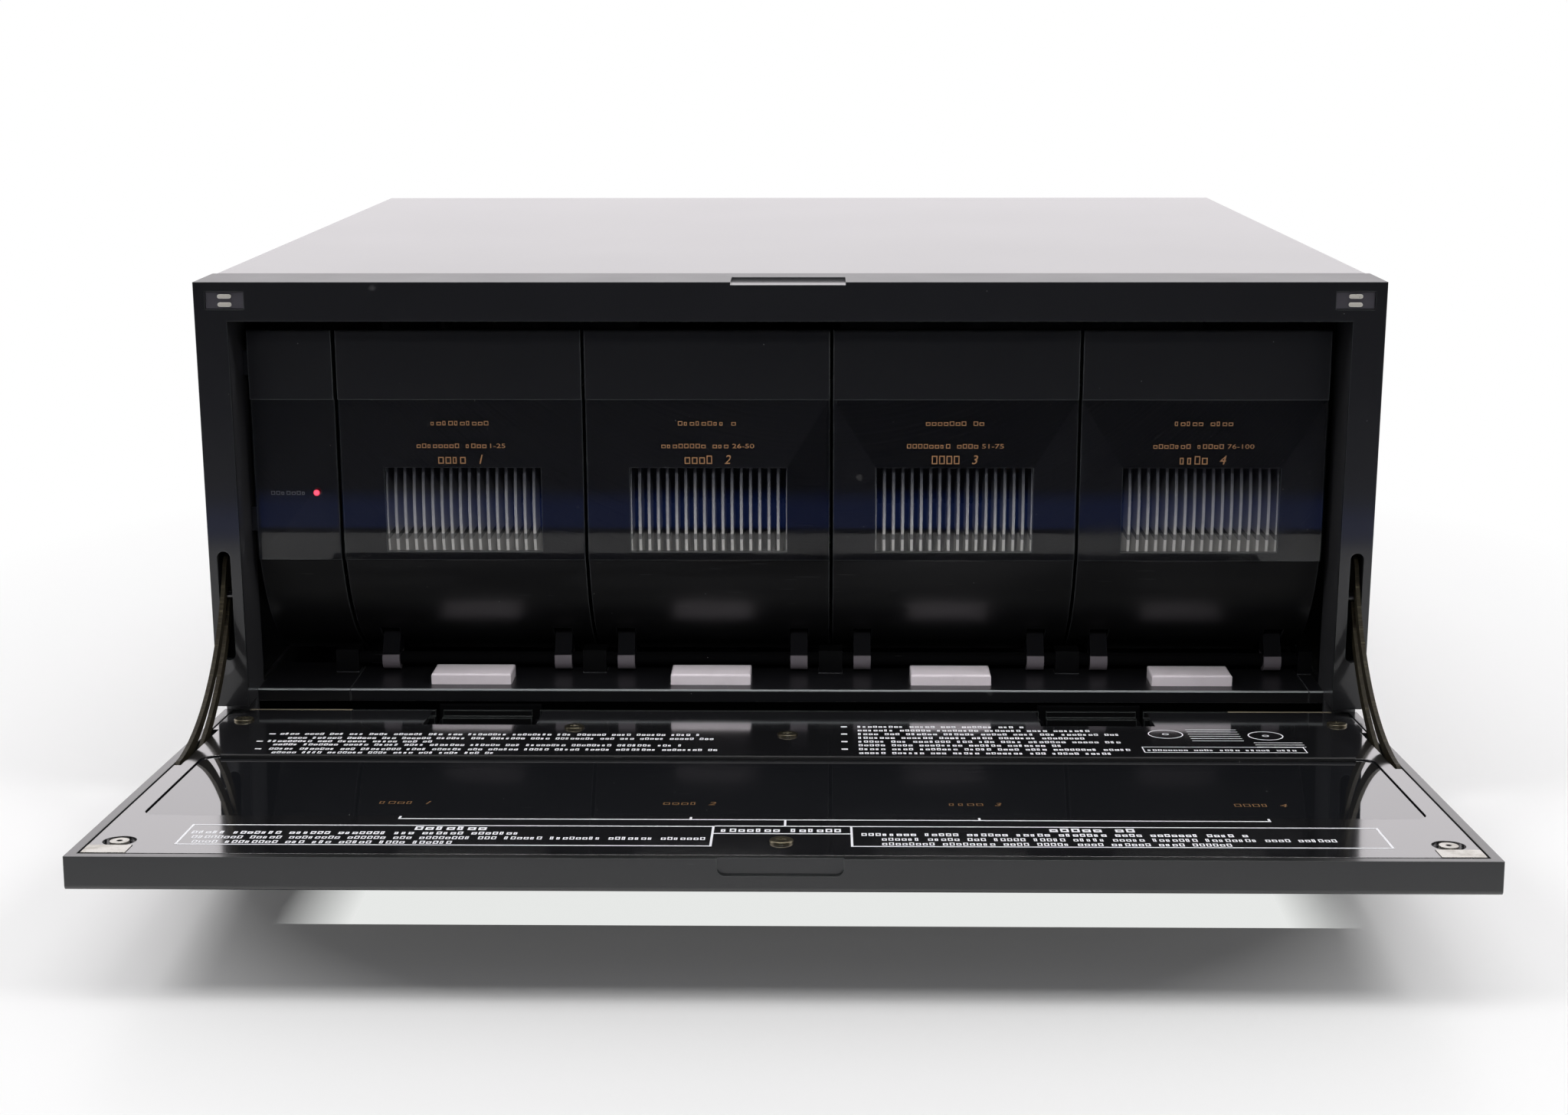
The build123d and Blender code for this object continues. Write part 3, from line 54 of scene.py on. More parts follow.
CAMERA_LENS = 52.67
TABLE_EDGE = -0.521
TABLE_HALF = 6.0
STRIP_FRONT = -0.224
STRIP_BACK = -0.150
STRIP_MIDDLE = 0.011
STRIP_SIDES = (0.175, 0.150)
CLOTH_FRONT = (-0.645, -0.596)
CLOTH_BACK = (-0.531, -0.538)
FADE_START = 0.30
FADE_END = 0.62
FADE_ACROSS = 1.6
PAINTED_FILL_LIGHT = 0.06
ROOM_DARKENS = (0.25, -0.35)


def srgb(red, green, blue):
    """Linear colour with alpha from three 0-255 display values, by the standard curve: a power
    of 2.4 above 0.04045 and a straight line below."""
    shares = np.array([red, green, blue]) / 255
    linear = np.where(shares > 0.04045, ((shares + 0.055) / 1.055) ** 2.4, shares / 12.92)
    return (*(float(value) for value in linear), 1.0)


class Wire:
    """One node socket; arithmetic on wires adds Math nodes to the tree that they are in."""

    def __init__(self, shader, socket):
        self.shader = shader
        self.socket = socket

    def math(self, operation, first, second=0.0):
        """A Math node on the two values."""
        return self.shader.node("ShaderNodeMath", {"operation": operation}, {0: first, 1: second})

    def __add__(self, other):
        return self.math("ADD", self, other)

    def __sub__(self, other):
        return self.math("SUBTRACT", self, other)

    def __rsub__(self, other):
        return self.math("SUBTRACT", other, self)

    def __mul__(self, other):
        return self.math("MULTIPLY", self, other)

    def __lt__(self, other):
        return self.math("LESS_THAN", self, other)

    def __gt__(self, other):
        return self.math("GREATER_THAN", self, other)

    def capped(self):
        """The value held between 0 and 1."""
        return self.shader.node("ShaderNodeClamp", {}, {"Value": self})

    def other(self, name):
        """Another output of the node that this wire leaves."""
        return Wire(self.shader, self.socket.node.outputs[name])

    __radd__ = __add__
    __rmul__ = __mul__


class Shader:
    """The node tree of a material or of the world."""

    def __init__(self, tree):
        self.tree = tree
        tree.nodes.clear()

    def node(self, kind, settings, inputs, output=0):
        """Adds a node: its settings first, then the values or wires of its sockets."""
        made = self.tree.nodes.new(kind)
        for key, value in settings.items():
            setattr(made, key, value)
        for key, value in inputs.items():
            if isinstance(value, Wire):
                self.tree.links.new(value.socket, made.inputs[key])
            else:
                made.inputs[key].default_value = value
        return Wire(self, made.outputs[output]) if made.outputs else None

    def mix(self, share, first, second):
        """Colour between first (share 0) and second (share 1)."""
        return self.node("ShaderNodeMix", {"data_type": "RGBA"}, {0: share, 6: first, 7: second}, 2)

    def noise(self, coords, scale, detail=3.0):
        """Smooth random value from 0 to 1, with that many cells to the metre."""
        return self.node("ShaderNodeTexNoise", {"noise_dimensions": "3D"},
                         {"Vector": coords, "Scale": scale, "Detail": detail, "Roughness": 0.55})

    def part(self, vector, axis):
        """One part of a vector: axis 0, 1 or 2 for X, Y or Z."""
        return self.node("ShaderNodeSeparateXYZ", {}, {0: vector}, axis)

    def ramp(self, value, low, high):
        """0 below low, 1 above high, and straight between."""
        return self.node("ShaderNodeMapRange", {"clamp": True},
                         {"Value": value, "From Min": low, "From Max": high})


def grid_mesh(name, points):
    """Sheet of quads over a grid of points, shape (rows, columns, 3)."""
    rows, columns = points.shape[:2]
    index = np.arange(rows * columns).reshape(rows, columns)
    quads = np.stack([index[:-1, :-1], index[:-1, 1:], index[1:, 1:], index[1:, :-1]], axis=-1)
    mesh = bpy.data.meshes.new(name)
    mesh.from_pydata(points.reshape(-1, 3).tolist(), [], quads.reshape(-1, 4).tolist())
    return mesh


camera = bpy.data.objects.new("camera", bpy.data.cameras.new("camera"))
camera.data.lens = CAMERA_LENS
camera.data.sensor_width = 36.0
camera.data.clip_start = 0.02
camera.location = CAMERA_PLACE
look = Matrix.Rotation(math.radians(CAMERA_YAW), 3, "Z")
look = look @ Matrix.Rotation(math.radians(90 - CAMERA_PITCH), 3, "X")
look = look @ Matrix.Rotation(math.radians(CAMERA_ROLL), 3, "Z")
camera.rotation_euler = look.to_euler()
bpy.context.scene.collection.objects.link(camera)
bpy.context.scene.camera = camera
bpy.context.scene.view_settings.view_transform = "Standard"

world = bpy.data.worlds.new("studio")
world.use_nodes = True
bpy.context.scene.world = world
air = Shader(world.node_tree)
direction = air.node("ShaderNodeTexCoord", {}, {}, "Generated")
ahead = air.ramp(air.part(direction, 1), *ROOM_DARKENS)
seen = air.node("ShaderNodeLightPath", {}, {}, "Is Camera Ray")
mirrored = seen.other("Is Glossy Ray")
through = seen.other("Is Transmission Ray")
room = air.mix(ahead, srgb(255, 251, 254), srgb(12, 12, 14))
soft = air.mix(ahead, (0.62, 0.62, 0.63, 1.0), (0.18, 0.18, 0.19, 1.0))
shown = air.mix((mirrored + through).capped(), soft, room)
shown = air.mix(seen, shown, (1.0, 1.0, 1.0, 1.0))
glow = air.node("ShaderNodeBackground", {}, {"Color": shown, "Strength": 1.0})
air.node("ShaderNodeOutputWorld", {}, {"Surface": glow})

for label, place, turn, size, power in (
    ("overhead_lamp", (0.0, -0.22, 1.5), (0.0, 0.0, 0.0), (1.2, 0.45), 7.5),
    ("left_lamp", (-1.1, -0.42, 1.1), (math.radians(9), math.radians(-45), 0.0), (0.4, 0.4), 10.0),
    ("right_lamp", (1.1, -0.42, 1.1), (math.radians(9), math.radians(45), 0.0), (0.4, 0.4), 10.0),
    ("rear_lamp", (0.0, 1.5, 0.75), (math.radians(-68), 0.0, 0.0), (2.6, 1.2), 12.0),
):
    lamp = bpy.data.lights.new(label, "AREA")
    lamp.shape = "RECTANGLE"
    lamp.size, lamp.size_y = size
    lamp.energy = power
    holder = bpy.data.objects.new(label, lamp)
    holder.location = place
    holder.rotation_euler = turn
    holder.visible_camera = False
    holder.visible_glossy = label == "overhead_lamp"
    bpy.context.scene.collection.objects.link(holder)

rack_lamp = bpy.data.lights.new("rack_lamp", "SPOT")
rack_lamp.energy = 44.0
rack_lamp.spot_size = math.radians(34)
rack_lamp.spot_blend = 0.6
rack_lamp.shadow_soft_size = 0.12
rack_holder = bpy.data.objects.new("rack_lamp", rack_lamp)
rack_holder.location = (0.0, -0.95, 0.62)
rack_holder.rotation_euler = (math.radians(59.5), 0.0, 0.0)
rack_holder.scale = (1.0, 0.25, 1.0)
rack_holder.visible_camera = False
rack_holder.visible_glossy = False
bpy.context.scene.collection.objects.link(rack_holder)

table_x, table_y = np.meshgrid(np.linspace(-TABLE_HALF, TABLE_HALF, 13),
                               np.linspace(-TABLE_HALF, TABLE_HALF, 13))
table = bpy.data.objects.new("table_top", grid_mesh("table_top", np.stack(
    [table_x, table_y, np.zeros_like(table_x)], axis=-1)))
bpy.context.scene.collection.objects.link(table)
paint = bpy.data.materials.new("table_white")
paint.use_nodes = True
top = Shader(paint.node_tree)
on_table = top.node("ShaderNodeTexCoord", {}, {}, "Object")
column = top.part(on_table, 0)
row = top.part(on_table, 1)
camera_ray = top.node("ShaderNodeLightPath", {}, {}, "Is Camera Ray")
white = top.node("ShaderNodeBsdfPrincipled", {}, {
    "Base Color": top.mix(top.noise(on_table, 9.0) * 0.25, srgb(224, 223, 223), srgb(216, 219, 217)),
    "Roughness": 0.32})
blue_cloth = top.ramp(row, *CLOTH_BACK) * top.ramp(row, *CLOTH_FRONT)
far_room = top.node("ShaderNodeEmission", {}, {
    "Color": top.mix(blue_cloth, srgb(24, 25, 29), srgb(62, 90, 182)), "Strength": 1.0})
hidden = camera_ray.other("Is Glossy Ray") * (row < TABLE_EDGE)
surface = top.node("ShaderNodeMixShader", {}, {0: hidden, 1: white, 2: far_room})
# A paler strip under the door, a painted pool of light, and the fade into the sweep, which runs in
# ellipses around the changer, are there for the camera alone.
across = column.math("ABSOLUTE", column - STRIP_MIDDLE)
lit_strip = camera_ray * (row > STRIP_FRONT) * (row < STRIP_BACK) * top.ramp(across, *STRIP_SIDES)
painted_light_strip = top.node("ShaderNodeEmission", {}, {"Color": srgb(229, 231, 229), "Strength": 1.0})
surface = top.node("ShaderNodeMixShader", {}, {0: lit_strip, 1: surface, 2: painted_light_strip})
reach = row.math("SQRT", column * column * FADE_ACROSS + row * row)
# For the camera, a little white is painted over the whole table as fill light, which lightens the
# changer's shadow.
sweep = camera_ray * (top.ramp(reach, FADE_START, FADE_END) * (1 - PAINTED_FILL_LIGHT) + PAINTED_FILL_LIGHT)
backdrop = top.node("ShaderNodeEmission", {}, {"Color": (1.0, 1.0, 1.0, 1.0), "Strength": 1.0})
surface = top.node("ShaderNodeMixShader", {}, {0: sweep, 1: surface, 2: backdrop})
top.node("ShaderNodeOutputMaterial", {}, {"Surface": surface})
table.data.materials.append(paint)

# ---- cabinet sheet metal -----------------------------------------------------------------------
# The cover is one folded steel sheet in black stoved paint with a fine wrinkle.  The floor, the rear
# panel, the carriage's rods and its toothed strip are zinc-coated steel, and the floor's colour is
# near-black at the front.


class Finish(Shader):
    """A material with one Principled shader; uniform values sit on the shader's own sockets."""

    def __init__(self, name, colour, roughness=None, **values):
        self.material = bpy.data.materials.new(name)
        self.material.use_nodes = True
        super().__init__(self.material.node_tree)
        self.coords = self.node("ShaderNodeTexCoord", {}, {}, "Object")
        self.colour = colour
        self.roughness = roughness
        self.normal = None
        self.values = values

    def specks(self, scale, size, share):
        """Mask of dust: a dot of that size in a share of the cells of a Voronoi pattern."""
        near = self.node("ShaderNodeTexVoronoi", {}, {"Vector": self.coords, "Scale": scale})
        pick = self.node("ShaderNodeSeparateColor", {}, {0: near.other("Color")})
        return (near < size) * (pick < share)

    def hairlines(self, angle, length, width, amount):
        """Mask of fine scratches: noise drawn out along one direction and cut to thin lines."""
        turned = self.node("ShaderNodeMapping", {}, {
            "Vector": self.coords, "Rotation": (0.0, 0.35, math.radians(angle)),
            "Scale": (1 / length, 1 / width, 1 / length)})
        streaks = self.noise(turned, 1.0, 1.0)
        return self.ramp(streaks, 1.0 - amount, 1.02 - amount)

    def tint(self, mask, shade):
        """Lays another colour over the base colour where mask is 1."""
        self.colour = self.mix(mask, self.colour, shade)

    def grain(self, height, distance):
        """Raises the surface by height times distance."""
        inputs = {"Height": height, "Distance": distance}
        if self.normal is not None:
            inputs["Normal"] = self.normal
        self.normal = self.node("ShaderNodeBump", {}, inputs)

    def rounded(self, radius):
        """Shades the edges as if they had that radius."""
        self.normal = self.node("ShaderNodeBevel", {"samples": 4}, {"Radius": radius})

    def edges(self, radius):
        """Mask that is 1 on sharp edges, where paint is worn thin and a painted highlight stands for
        the light that edges catch.
        """
        bevel = self.node("ShaderNodeBevel", {"samples": 4}, {"Radius": radius})
        flat = self.node("ShaderNodeNewGeometry", {}, {}, "True Normal")
        match = self.node("ShaderNodeVectorMath", {"operation": "DOT_PRODUCT"},
                          {0: bevel, 1: flat}, "Value")
        return self.ramp(match, 0.97, 0.75)

    def done(self):
        """Wires the shader to the output and returns the material."""
        inputs = {"Base Color": self.colour, "Roughness": self.roughness, **self.values}
        if self.normal is not None:
            inputs["Normal"] = self.normal
        shade = self.node("ShaderNodeBsdfPrincipled", {}, inputs)
        self.node("ShaderNodeOutputMaterial", {}, {"Surface": shade})
        return self.material


def dress(finish, *nodes):
    """Gives the material to every slot of the named CAD nodes."""
    ready = finish.done()
    for node in nodes:
        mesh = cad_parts[node].data
        if not mesh.materials:
            mesh.materials.append(ready)
        for number in range(len(mesh.materials)):
            mesh.materials[number] = ready


cover_paint = Finish("stoved_black_paint", srgb(30, 29, 31), **{
    "Coat Weight": 1.0, "Coat Roughness": 0.14, "Coat IOR": 1.85})
wrinkle = cover_paint.noise(cover_paint.coords, 1600.0, 2.0)
cover_paint.grain(wrinkle, 0.00003)
wear_and_highlight = cover_paint.hairlines(34.0, 0.03, 0.0004, 0.27)
cover_paint.tint(wear_and_highlight * 0.35, srgb(120, 118, 112))
cover_paint.tint(cover_paint.specks(60.0, 0.03, 0.3) * 0.5, srgb(150, 148, 142))
# Painted highlight along the cover's edges, with the paint worn thin there.
cover_paint.tint(cover_paint.edges(0.0006) * 0.25, srgb(120, 118, 116))
cover_paint.roughness = 0.27 + cover_paint.noise(cover_paint.coords, 14.0) * 0.1
dress(cover_paint, "top_cover")


def zinc(name):
    """Zinc-coated sheet: pale grey spangle in cells, with faint rolling lines."""
    coat = Finish(name, srgb(172, 174, 176), Metallic=0.9)
    spangle = coat.node("ShaderNodeTexVoronoi", {"feature": "F1"},
                        {"Vector": coat.coords, "Scale": 110.0}, "Color")
    tone = coat.node("ShaderNodeSeparateColor", {}, {0: spangle})
    coat.tint(tone * 0.35, srgb(138, 142, 148))
    coat.tint(coat.hairlines(4.0, 0.08, 0.0005, 0.25) * 0.3, srgb(205, 206, 208))
    coat.roughness = 0.3 + tone * 0.18
    coat.grain(coat.noise(coat.coords, 900.0), 0.00001)
    return coat


FLOOR_DARK_FRONT = -0.078
chassis_zinc = zinc("zinc_sheet")
chassis_zinc.tint(chassis_zinc.part(chassis_zinc.coords, 1) < FLOOR_DARK_FRONT, srgb(14, 14, 15))
dress(chassis_zinc, "bottom_chassis", "guide_rods", "feed_strip")
rear_paint = zinc("rear_panel_zinc")
# Painted highlight along the panel's edges.
rear_paint.tint(rear_paint.edges(0.0008) * 0.4, srgb(226, 226, 224))
dress(rear_paint, "rear_panel")

# ---- cover screws ------------------------------------------------------------------------------
# Ten black pan-head screws hold the cover: three low on each side and four along the rear.
# Each head is turned from steel, its cross recess is punched, and each stands at its own turn.
SCREW_RADIUS = 0.004
SCREW_HEIGHT = 0.00195
CROSS_HALF = 0.0005
CROSS_REACH = 0.0021
CROSS_DEPTH = 0.0011
SIDE_SCREWS = (0.070, 0.200, 0.340)
SIDE_SCREW_HEIGHT = 0.018
REAR_SCREWS = (-0.190, -0.060, 0.060, 0.190)
REAR_SCREW_HEIGHT = 0.183
SCREW_TURN = 37


def closed_mesh(name, points, faces, material, smooth=None):
    """Object from vertices and faces, with the material, linked to the scene.  Its faces are
    flat, or blend where they meet at less than smooth, in degrees."""
    mesh = bpy.data.meshes.new(name)
    mesh.from_pydata(np.asarray(points).reshape(-1, 3).tolist(), [], [list(f) for f in faces])
    mesh.materials.append(material)
    if smooth is not None:
        mesh.polygons.foreach_set("use_smooth", [True] * len(mesh.polygons))
        mesh.set_sharp_from_angle(angle=math.radians(smooth))
    piece = bpy.data.objects.new(name, mesh)
    bpy.context.scene.collection.objects.link(piece)
    return piece


def disc_faces(rings, around):
    """Faces of a disc-like grid, each ring closed on itself, with a fan at both end rings."""
    index = np.arange(rings * around).reshape(rings, around)
    side = np.roll(index, -1, axis=1)
    quads = np.stack([index[:-1], side[:-1], side[1:], index[1:]], axis=-1).reshape(-1, 4)
    return quads.tolist() + [index[0][::-1].tolist(), index[-1].tolist()]


def screw_head(radius, height, rings=9, around=48):
    """Pan head: radius r and angle a on a grid; height = a dome, height * (1 - (r/R)^4 / 2),
    less the cross where min(|x|, |y|) is inside its half width and r inside its reach."""
    share = np.concatenate([[1.0, 1.0], np.linspace(0.97, 0.02, rings - 2)])
    angle = np.linspace(0, 2 * np.pi, around, endpoint=False)
    r, a = np.meshgrid(share * radius, angle, indexing="ij")
    x, y = r * np.cos(a), r * np.sin(a)
    dome = height * (1 - 0.5 * (r / radius) ** 4)
    inside = (np.minimum(abs(x), abs(y)) < CROSS_HALF) & (np.maximum(abs(x), abs(y)) < CROSS_REACH)
    z = np.where(inside, dome - CROSS_DEPTH, dome)
    z[0] = 0.0
    return np.stack([x, y, z], axis=-1)


head_points = screw_head(SCREW_RADIUS, SCREW_HEIGHT)
head_faces = disc_faces(*head_points.shape[:2])
cover_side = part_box("top_cover")[1].x
bezel_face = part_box("front_bezel")[0].y
rear_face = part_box("rear_panel")[1].y
# Each screw is (centre, sideways along the sheet, out of the sheet).
screws = [((side * cover_side, bezel_face + back, SIDE_SCREW_HEIGHT), (0, -side, 0), (side, 0, 0))
          for side in (-1, 1) for back in SIDE_SCREWS]
screws += [((x, rear_face, REAR_SCREW_HEIGHT), (-1, 0, 0), (0, 1, 0)) for x in REAR_SCREWS]
local = head_points.reshape(-1, 3)
screw_points, screw_faces = [], []
for number, (centre, across, out) in enumerate(screws):
    across, up, out = np.array([across, (0, 0, 1), out], float)
    turn = math.radians(SCREW_TURN * number)
    u = math.cos(turn) * across + math.sin(turn) * up
    w = -math.sin(turn) * across + math.cos(turn) * up
    flipped = np.dot(np.cross(u, w), out) < 0
    screw_points.append(centre + local[:, :1] * u + local[:, 1:2] * w + local[:, 2:] * out)
    offset = number * len(local)
    screw_faces += [[offset + i for i in (face[::-1] if flipped else face)] for face in head_faces]
black_steel = Finish("blackened_steel", srgb(34, 33, 34), Metallic=0.7)
black_steel.tint(black_steel.hairlines(60.0, 0.003, 0.00012, 0.35) * 0.5, srgb(120, 116, 110))
black_steel.roughness = 0.28 + black_steel.noise(black_steel.coords, 700.0) * 0.16
heads = closed_mesh("cover_screw_heads", np.concatenate(screw_points), screw_faces,
                    black_steel.done(), 35.0)
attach(heads, "cabinet")
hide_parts("cover_screws")

# ---- vent filter -------------------------------------------------------------------------------
# A pleated black felt pad is glued inside the rear panel over its fourteen vent slots, so no
# light comes through them.
FILTER_DEPTH = 0.0016
FILTER_PLEATS = 26
FILTER_GLUE = 0.0001
FILTER_SIDES = (-0.082, 0.022)
FILTER_HEIGHTS = (0.099, 0.141)


def pleated_loop(left, right, back, depth, pleats):
    """Closed outline seen from above: the front folds as depth * |sin|, the back is straight."""
    share = np.linspace(0.0, 1.0, pleats * 4 + 1)
    front = np.stack([left + (right - left) * share,
                      back - depth * (0.4 + 0.6 * abs(np.sin(np.pi * pleats * share)))], axis=-1)
    return np.concatenate([front, [[right, back], [left, back]]])


loop = pleated_loop(*FILTER_SIDES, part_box("rear_panel")[0].y + FILTER_GLUE, FILTER_DEPTH,
                    FILTER_PLEATS)
filter_rings = np.stack([np.column_stack([loop, np.full(len(loop), z)]) for z in FILTER_HEIGHTS])
felt = Finish("filter_felt", srgb(18, 18, 19), 0.95)
felt.tint(felt.noise(felt.coords, 2400.0) * 0.5, srgb(34, 34, 36))
felt.grain(felt.noise(felt.coords, 1800.0), 0.0002)
pad = closed_mesh("vent_filter", filter_rings, disc_faces(*filter_rings.shape[:2]), felt.done())
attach(pad, "cabinet")

# ---- bezel, catches and small steel parts ------------------------------------------------------
# The front surround is moulded in black ABS with a fine spark texture.  The magnetic catches at
# its upper corners are grey nylon blocks with two nickelled poles each.  The door's strikes,
# screws and stay pins are plated steel, and the rack shaft and hinge brackets are black.
BEZEL_RETURN = 0.0012
BEZEL_TOP_BAND = 0.0003
STRIKE_DISC = (0.1976, 0.2661, 0.0438)
STRIKE_DIMPLE_SHADE = (0.0011, 0.0008)


def moulded(name, colour, roughness, grain=0.00001, **values):
    """Moulded plastic: spark grain, rounded edges, dust and hairlines."""
    plastic = Finish(name, colour, **values)
    plastic.rounded(0.0005)
    plastic.grain(plastic.noise(plastic.coords, 2600.0, 2.0), grain)
    plastic.tint(plastic.hairlines(28.0, 0.02, 0.00022, 0.24) * 0.3, srgb(96, 96, 98))
    plastic.tint(plastic.hairlines(-52.0, 0.012, 0.0002, 0.22) * 0.25, srgb(110, 108, 106))
    plastic.tint(plastic.specks(190.0, 0.035, 0.35) * 0.55, srgb(150, 150, 148))
    plastic.roughness = roughness - 0.05 + plastic.noise(plastic.coords, 45.0) * 0.1
    return plastic


bezel_plastic = moulded("bezel_black", srgb(20, 20, 22), 0.34, **{
    "Coat Weight": 0.8, "Coat Roughness": 0.08})
# Painted highlight along the bezel's edges, with wear.
bezel_plastic.tint(bezel_plastic.edges(0.0005) * 0.3, srgb(96, 104, 102))
# The faces set back from the front are painted lighter grey, as light falling on them.
set_back = bezel_plastic.part(bezel_plastic.coords, 1) > bezel_face + BEZEL_RETURN
bezel_plastic.tint(set_back, srgb(52, 52, 54))
bezel_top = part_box("front_bezel")[1].z - BEZEL_TOP_BAND
bezel_upper = bezel_plastic.part(bezel_plastic.coords, 2) > bezel_top
bezel_plastic.values["Coat Weight"] = 0.8 - bezel_upper * 0.55
dress(bezel_plastic, "front_bezel")
catch_plastic = moulded("catch_grey", srgb(66, 64, 70), 0.4)
dress(catch_plastic, "catch_plates")


def bright(name, colour, roughness, dirt):
    """Plated metal: fine brushing, with duller and darker patches."""
    metal = Finish(name, colour, Metallic=1.0)
    metal.rounded(0.0003)
    patches = metal.ramp(metal.noise(metal.coords, 260.0), 0.45, 0.7)
    metal.tint(patches * 0.5, dirt)
    metal.tint(metal.hairlines(12.0, 0.004, 0.00008, 0.4) * 0.3, srgb(230, 228, 222))
    metal.roughness = roughness + patches * 0.2
    return metal


pole_steel = Finish("pole_nickel", srgb(186, 182, 174), 0.4, Metallic=0.2)
pole_steel.rounded(0.0002)
# Painted highlight along the poles' edges.
pole_steel.tint(pole_steel.edges(0.0004), srgb(244, 242, 236))
pole_steel.tint(pole_steel.specks(900.0, 0.2, 0.3) * 0.4, srgb(60, 56, 50))
dress(pole_steel, "catch_poles")
dress(bright("guide_steel", srgb(120, 120, 122), 0.3, srgb(76, 76, 78)), "stay_guides")
dress(moulded("shaft_black", srgb(7, 7, 8), 0.5, **{"Specular IOR Level": 0.1}),
      "rack_shaft", "hinge_brackets")
strike = bright("strike_nickel", srgb(226, 224, 216), 0.24, srgb(176, 170, 158))
# Painted shade: each strike is dark in its middle, where its dimple lies.  Places are folded to one
# side, so that one dimple stands for both discs.
folded = strike.node("ShaderNodeVectorMath", {"operation": "ABSOLUTE"}, {0: strike.coords})
dimple = strike.node("ShaderNodeVectorMath", {"operation": "DISTANCE"},
                     {0: folded, 1: STRIKE_DISC}, "Value")
strike.tint(strike.ramp(dimple, *STRIKE_DIMPLE_SHADE), srgb(34, 32, 30))
dress(strike, "door_strikes")
dress(bright("screw_brassy", srgb(150, 142, 118), 0.3, srgb(64, 60, 50)), "liner_screws")
dress(bright("stay_pivot_steel", srgb(150, 146, 132), 0.3, srgb(92, 88, 74)), "stay_pivots")

# ---- ledge and eject buttons -------------------------------------------------------------------
# The ledge below the racks is moulded with its shaft posts, which are painted darker above its top as
# shade, and a painted highlight runs along its front edge.
# Four grey caps press down through it, and a small grey mark is printed in front of each.
LEDGE_TOP = 0.0385
LEDGE_HIGHLIGHT = (0.0009, 0.0005)
POST_FOOT = 0.0004
MARK_HALF = 0.0072
MARK_FRONT = 0.0018
MARK_HEIGHT = 0.0014
MARK_PITCH = 0.0024
MARK_RISE = 0.00004
MARK_SINK = 0.00002
button_names = [f"eject_button_{number}" for number in range(1, 5)]
ledge_black = moulded("ledge_black", srgb(18, 18, 20), 0.32, **{
    "Coat Weight": 0.15, "Coat Roughness": 0.1})
# Painted highlight along the ledge's edges, with wear.
ledge_black.tint(ledge_black.edges(0.0004) * 0.55, srgb(120, 122, 124))
above = ledge_black.part(ledge_black.coords, 2)
# Above the ledge's top face the moulding is painted darker, as shade under the racks.
ledge_black.tint(above > LEDGE_TOP + POST_FOOT, srgb(9, 9, 10))
# Painted highlight along the ledge's front top edge.
ledge_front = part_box("eject_ledge")[0].y + LEDGE_HIGHLIGHT[0]
front_edge = ledge_black.part(ledge_black.coords, 1) < ledge_front
wear_and_highlight = front_edge * (above > LEDGE_TOP - LEDGE_HIGHLIGHT[1])
ledge_black.tint(wear_and_highlight * 0.8, srgb(150, 154, 156))
dress(ledge_black, "eject_ledge", "ledge_ends")
cap_grey = Finish("button_grey", srgb(206, 198, 203), 0.42)
cap_grey.rounded(0.0006)
cap_grey.grain(cap_grey.noise(cap_grey.coords, 3000.0, 2.0), 0.000008)
cap_grey.tint(cap_grey.ramp(cap_grey.noise(cap_grey.coords, 120.0), 0.5, 0.8) * 0.2,
              srgb(150, 142, 144))
cap_grey.tint(cap_grey.specks(260.0, 0.04, 0.2) * 0.5, srgb(90, 84, 84))
dress(cap_grey, *button_names)


def slabs(rects):
    """Thin closed blocks over rectangles (left, right, low, high) in a printed plane: the eight
    corners of each are every pair of its u and w limits, below and above the plane."""
    left, right, low_w, high_w = np.asarray(rects, float).reshape(-1, 4).T
    u = np.stack([left, right, right, left] * 2, axis=-1)
    w = np.stack([low_w, low_w, high_w, high_w] * 2, axis=-1)
    d = np.broadcast_to(np.repeat([-MARK_SINK, MARK_RISE], 4), u.shape)
    points = np.stack([u, w, d], axis=-1).reshape(-1, 3)
    block = np.array([[3, 2, 1, 0], [4, 5, 6, 7], [0, 1, 5, 4], [1, 2, 6, 5], [2, 3, 7, 6],
                      [3, 0, 4, 7]])
    faces = (np.arange(len(left))[:, None, None] * 8 + block).reshape(-1, 4)
    return points, faces.tolist()


def marks_in_row(chance, left, right, low, height, pitch, weight=0.17):
    """A row of small hollow blocks, grouped as words are.  Three in four fill 0.76 of the pitch and
    the rest 0.52, and six in ten are 0.8 of the height.  Each block is four strokes (left, right,
    low, high): two upright ones and two bars between them."""
    count = max(2, round((right - left) / pitch))
    pitch = (right - left) / count
    draw = chance.random((2, count))
    near = left + pitch * np.arange(count)
    far = near + pitch * np.where(draw[0] > 0.25, 0.76, 0.52)
    top = low + height * np.where(draw[1] > 0.6, 1.0, 0.8)
    foot = np.full(count, low)
    stem = min(height * weight, pitch * 0.2)
    bar = height * weight
    cells = np.stack([[near, near + stem, foot, top], [far - stem, far, foot, top],
                      [near + stem, far - stem, top - bar, top],
                      [near + stem, far - stem, foot, foot + bar]])
    kept = np.ones(count, bool)
    gaps = np.cumsum(chance.integers(4, 10, count))
    kept[gaps[gaps < count - 1]] = False
    return cells[:, :, kept].transpose(0, 2, 1).reshape(-1, 4)


def in_place(points, origin, across, up):
    """World points of plane points (u, w, d): origin + u across + w up + d out."""
    across, up = np.asarray(across, float), np.asarray(up, float)
    out = np.cross(across, up)
    return np.asarray(origin) + points[:, :1] * across + points[:, 1:2] * up + points[:, 2:] * out


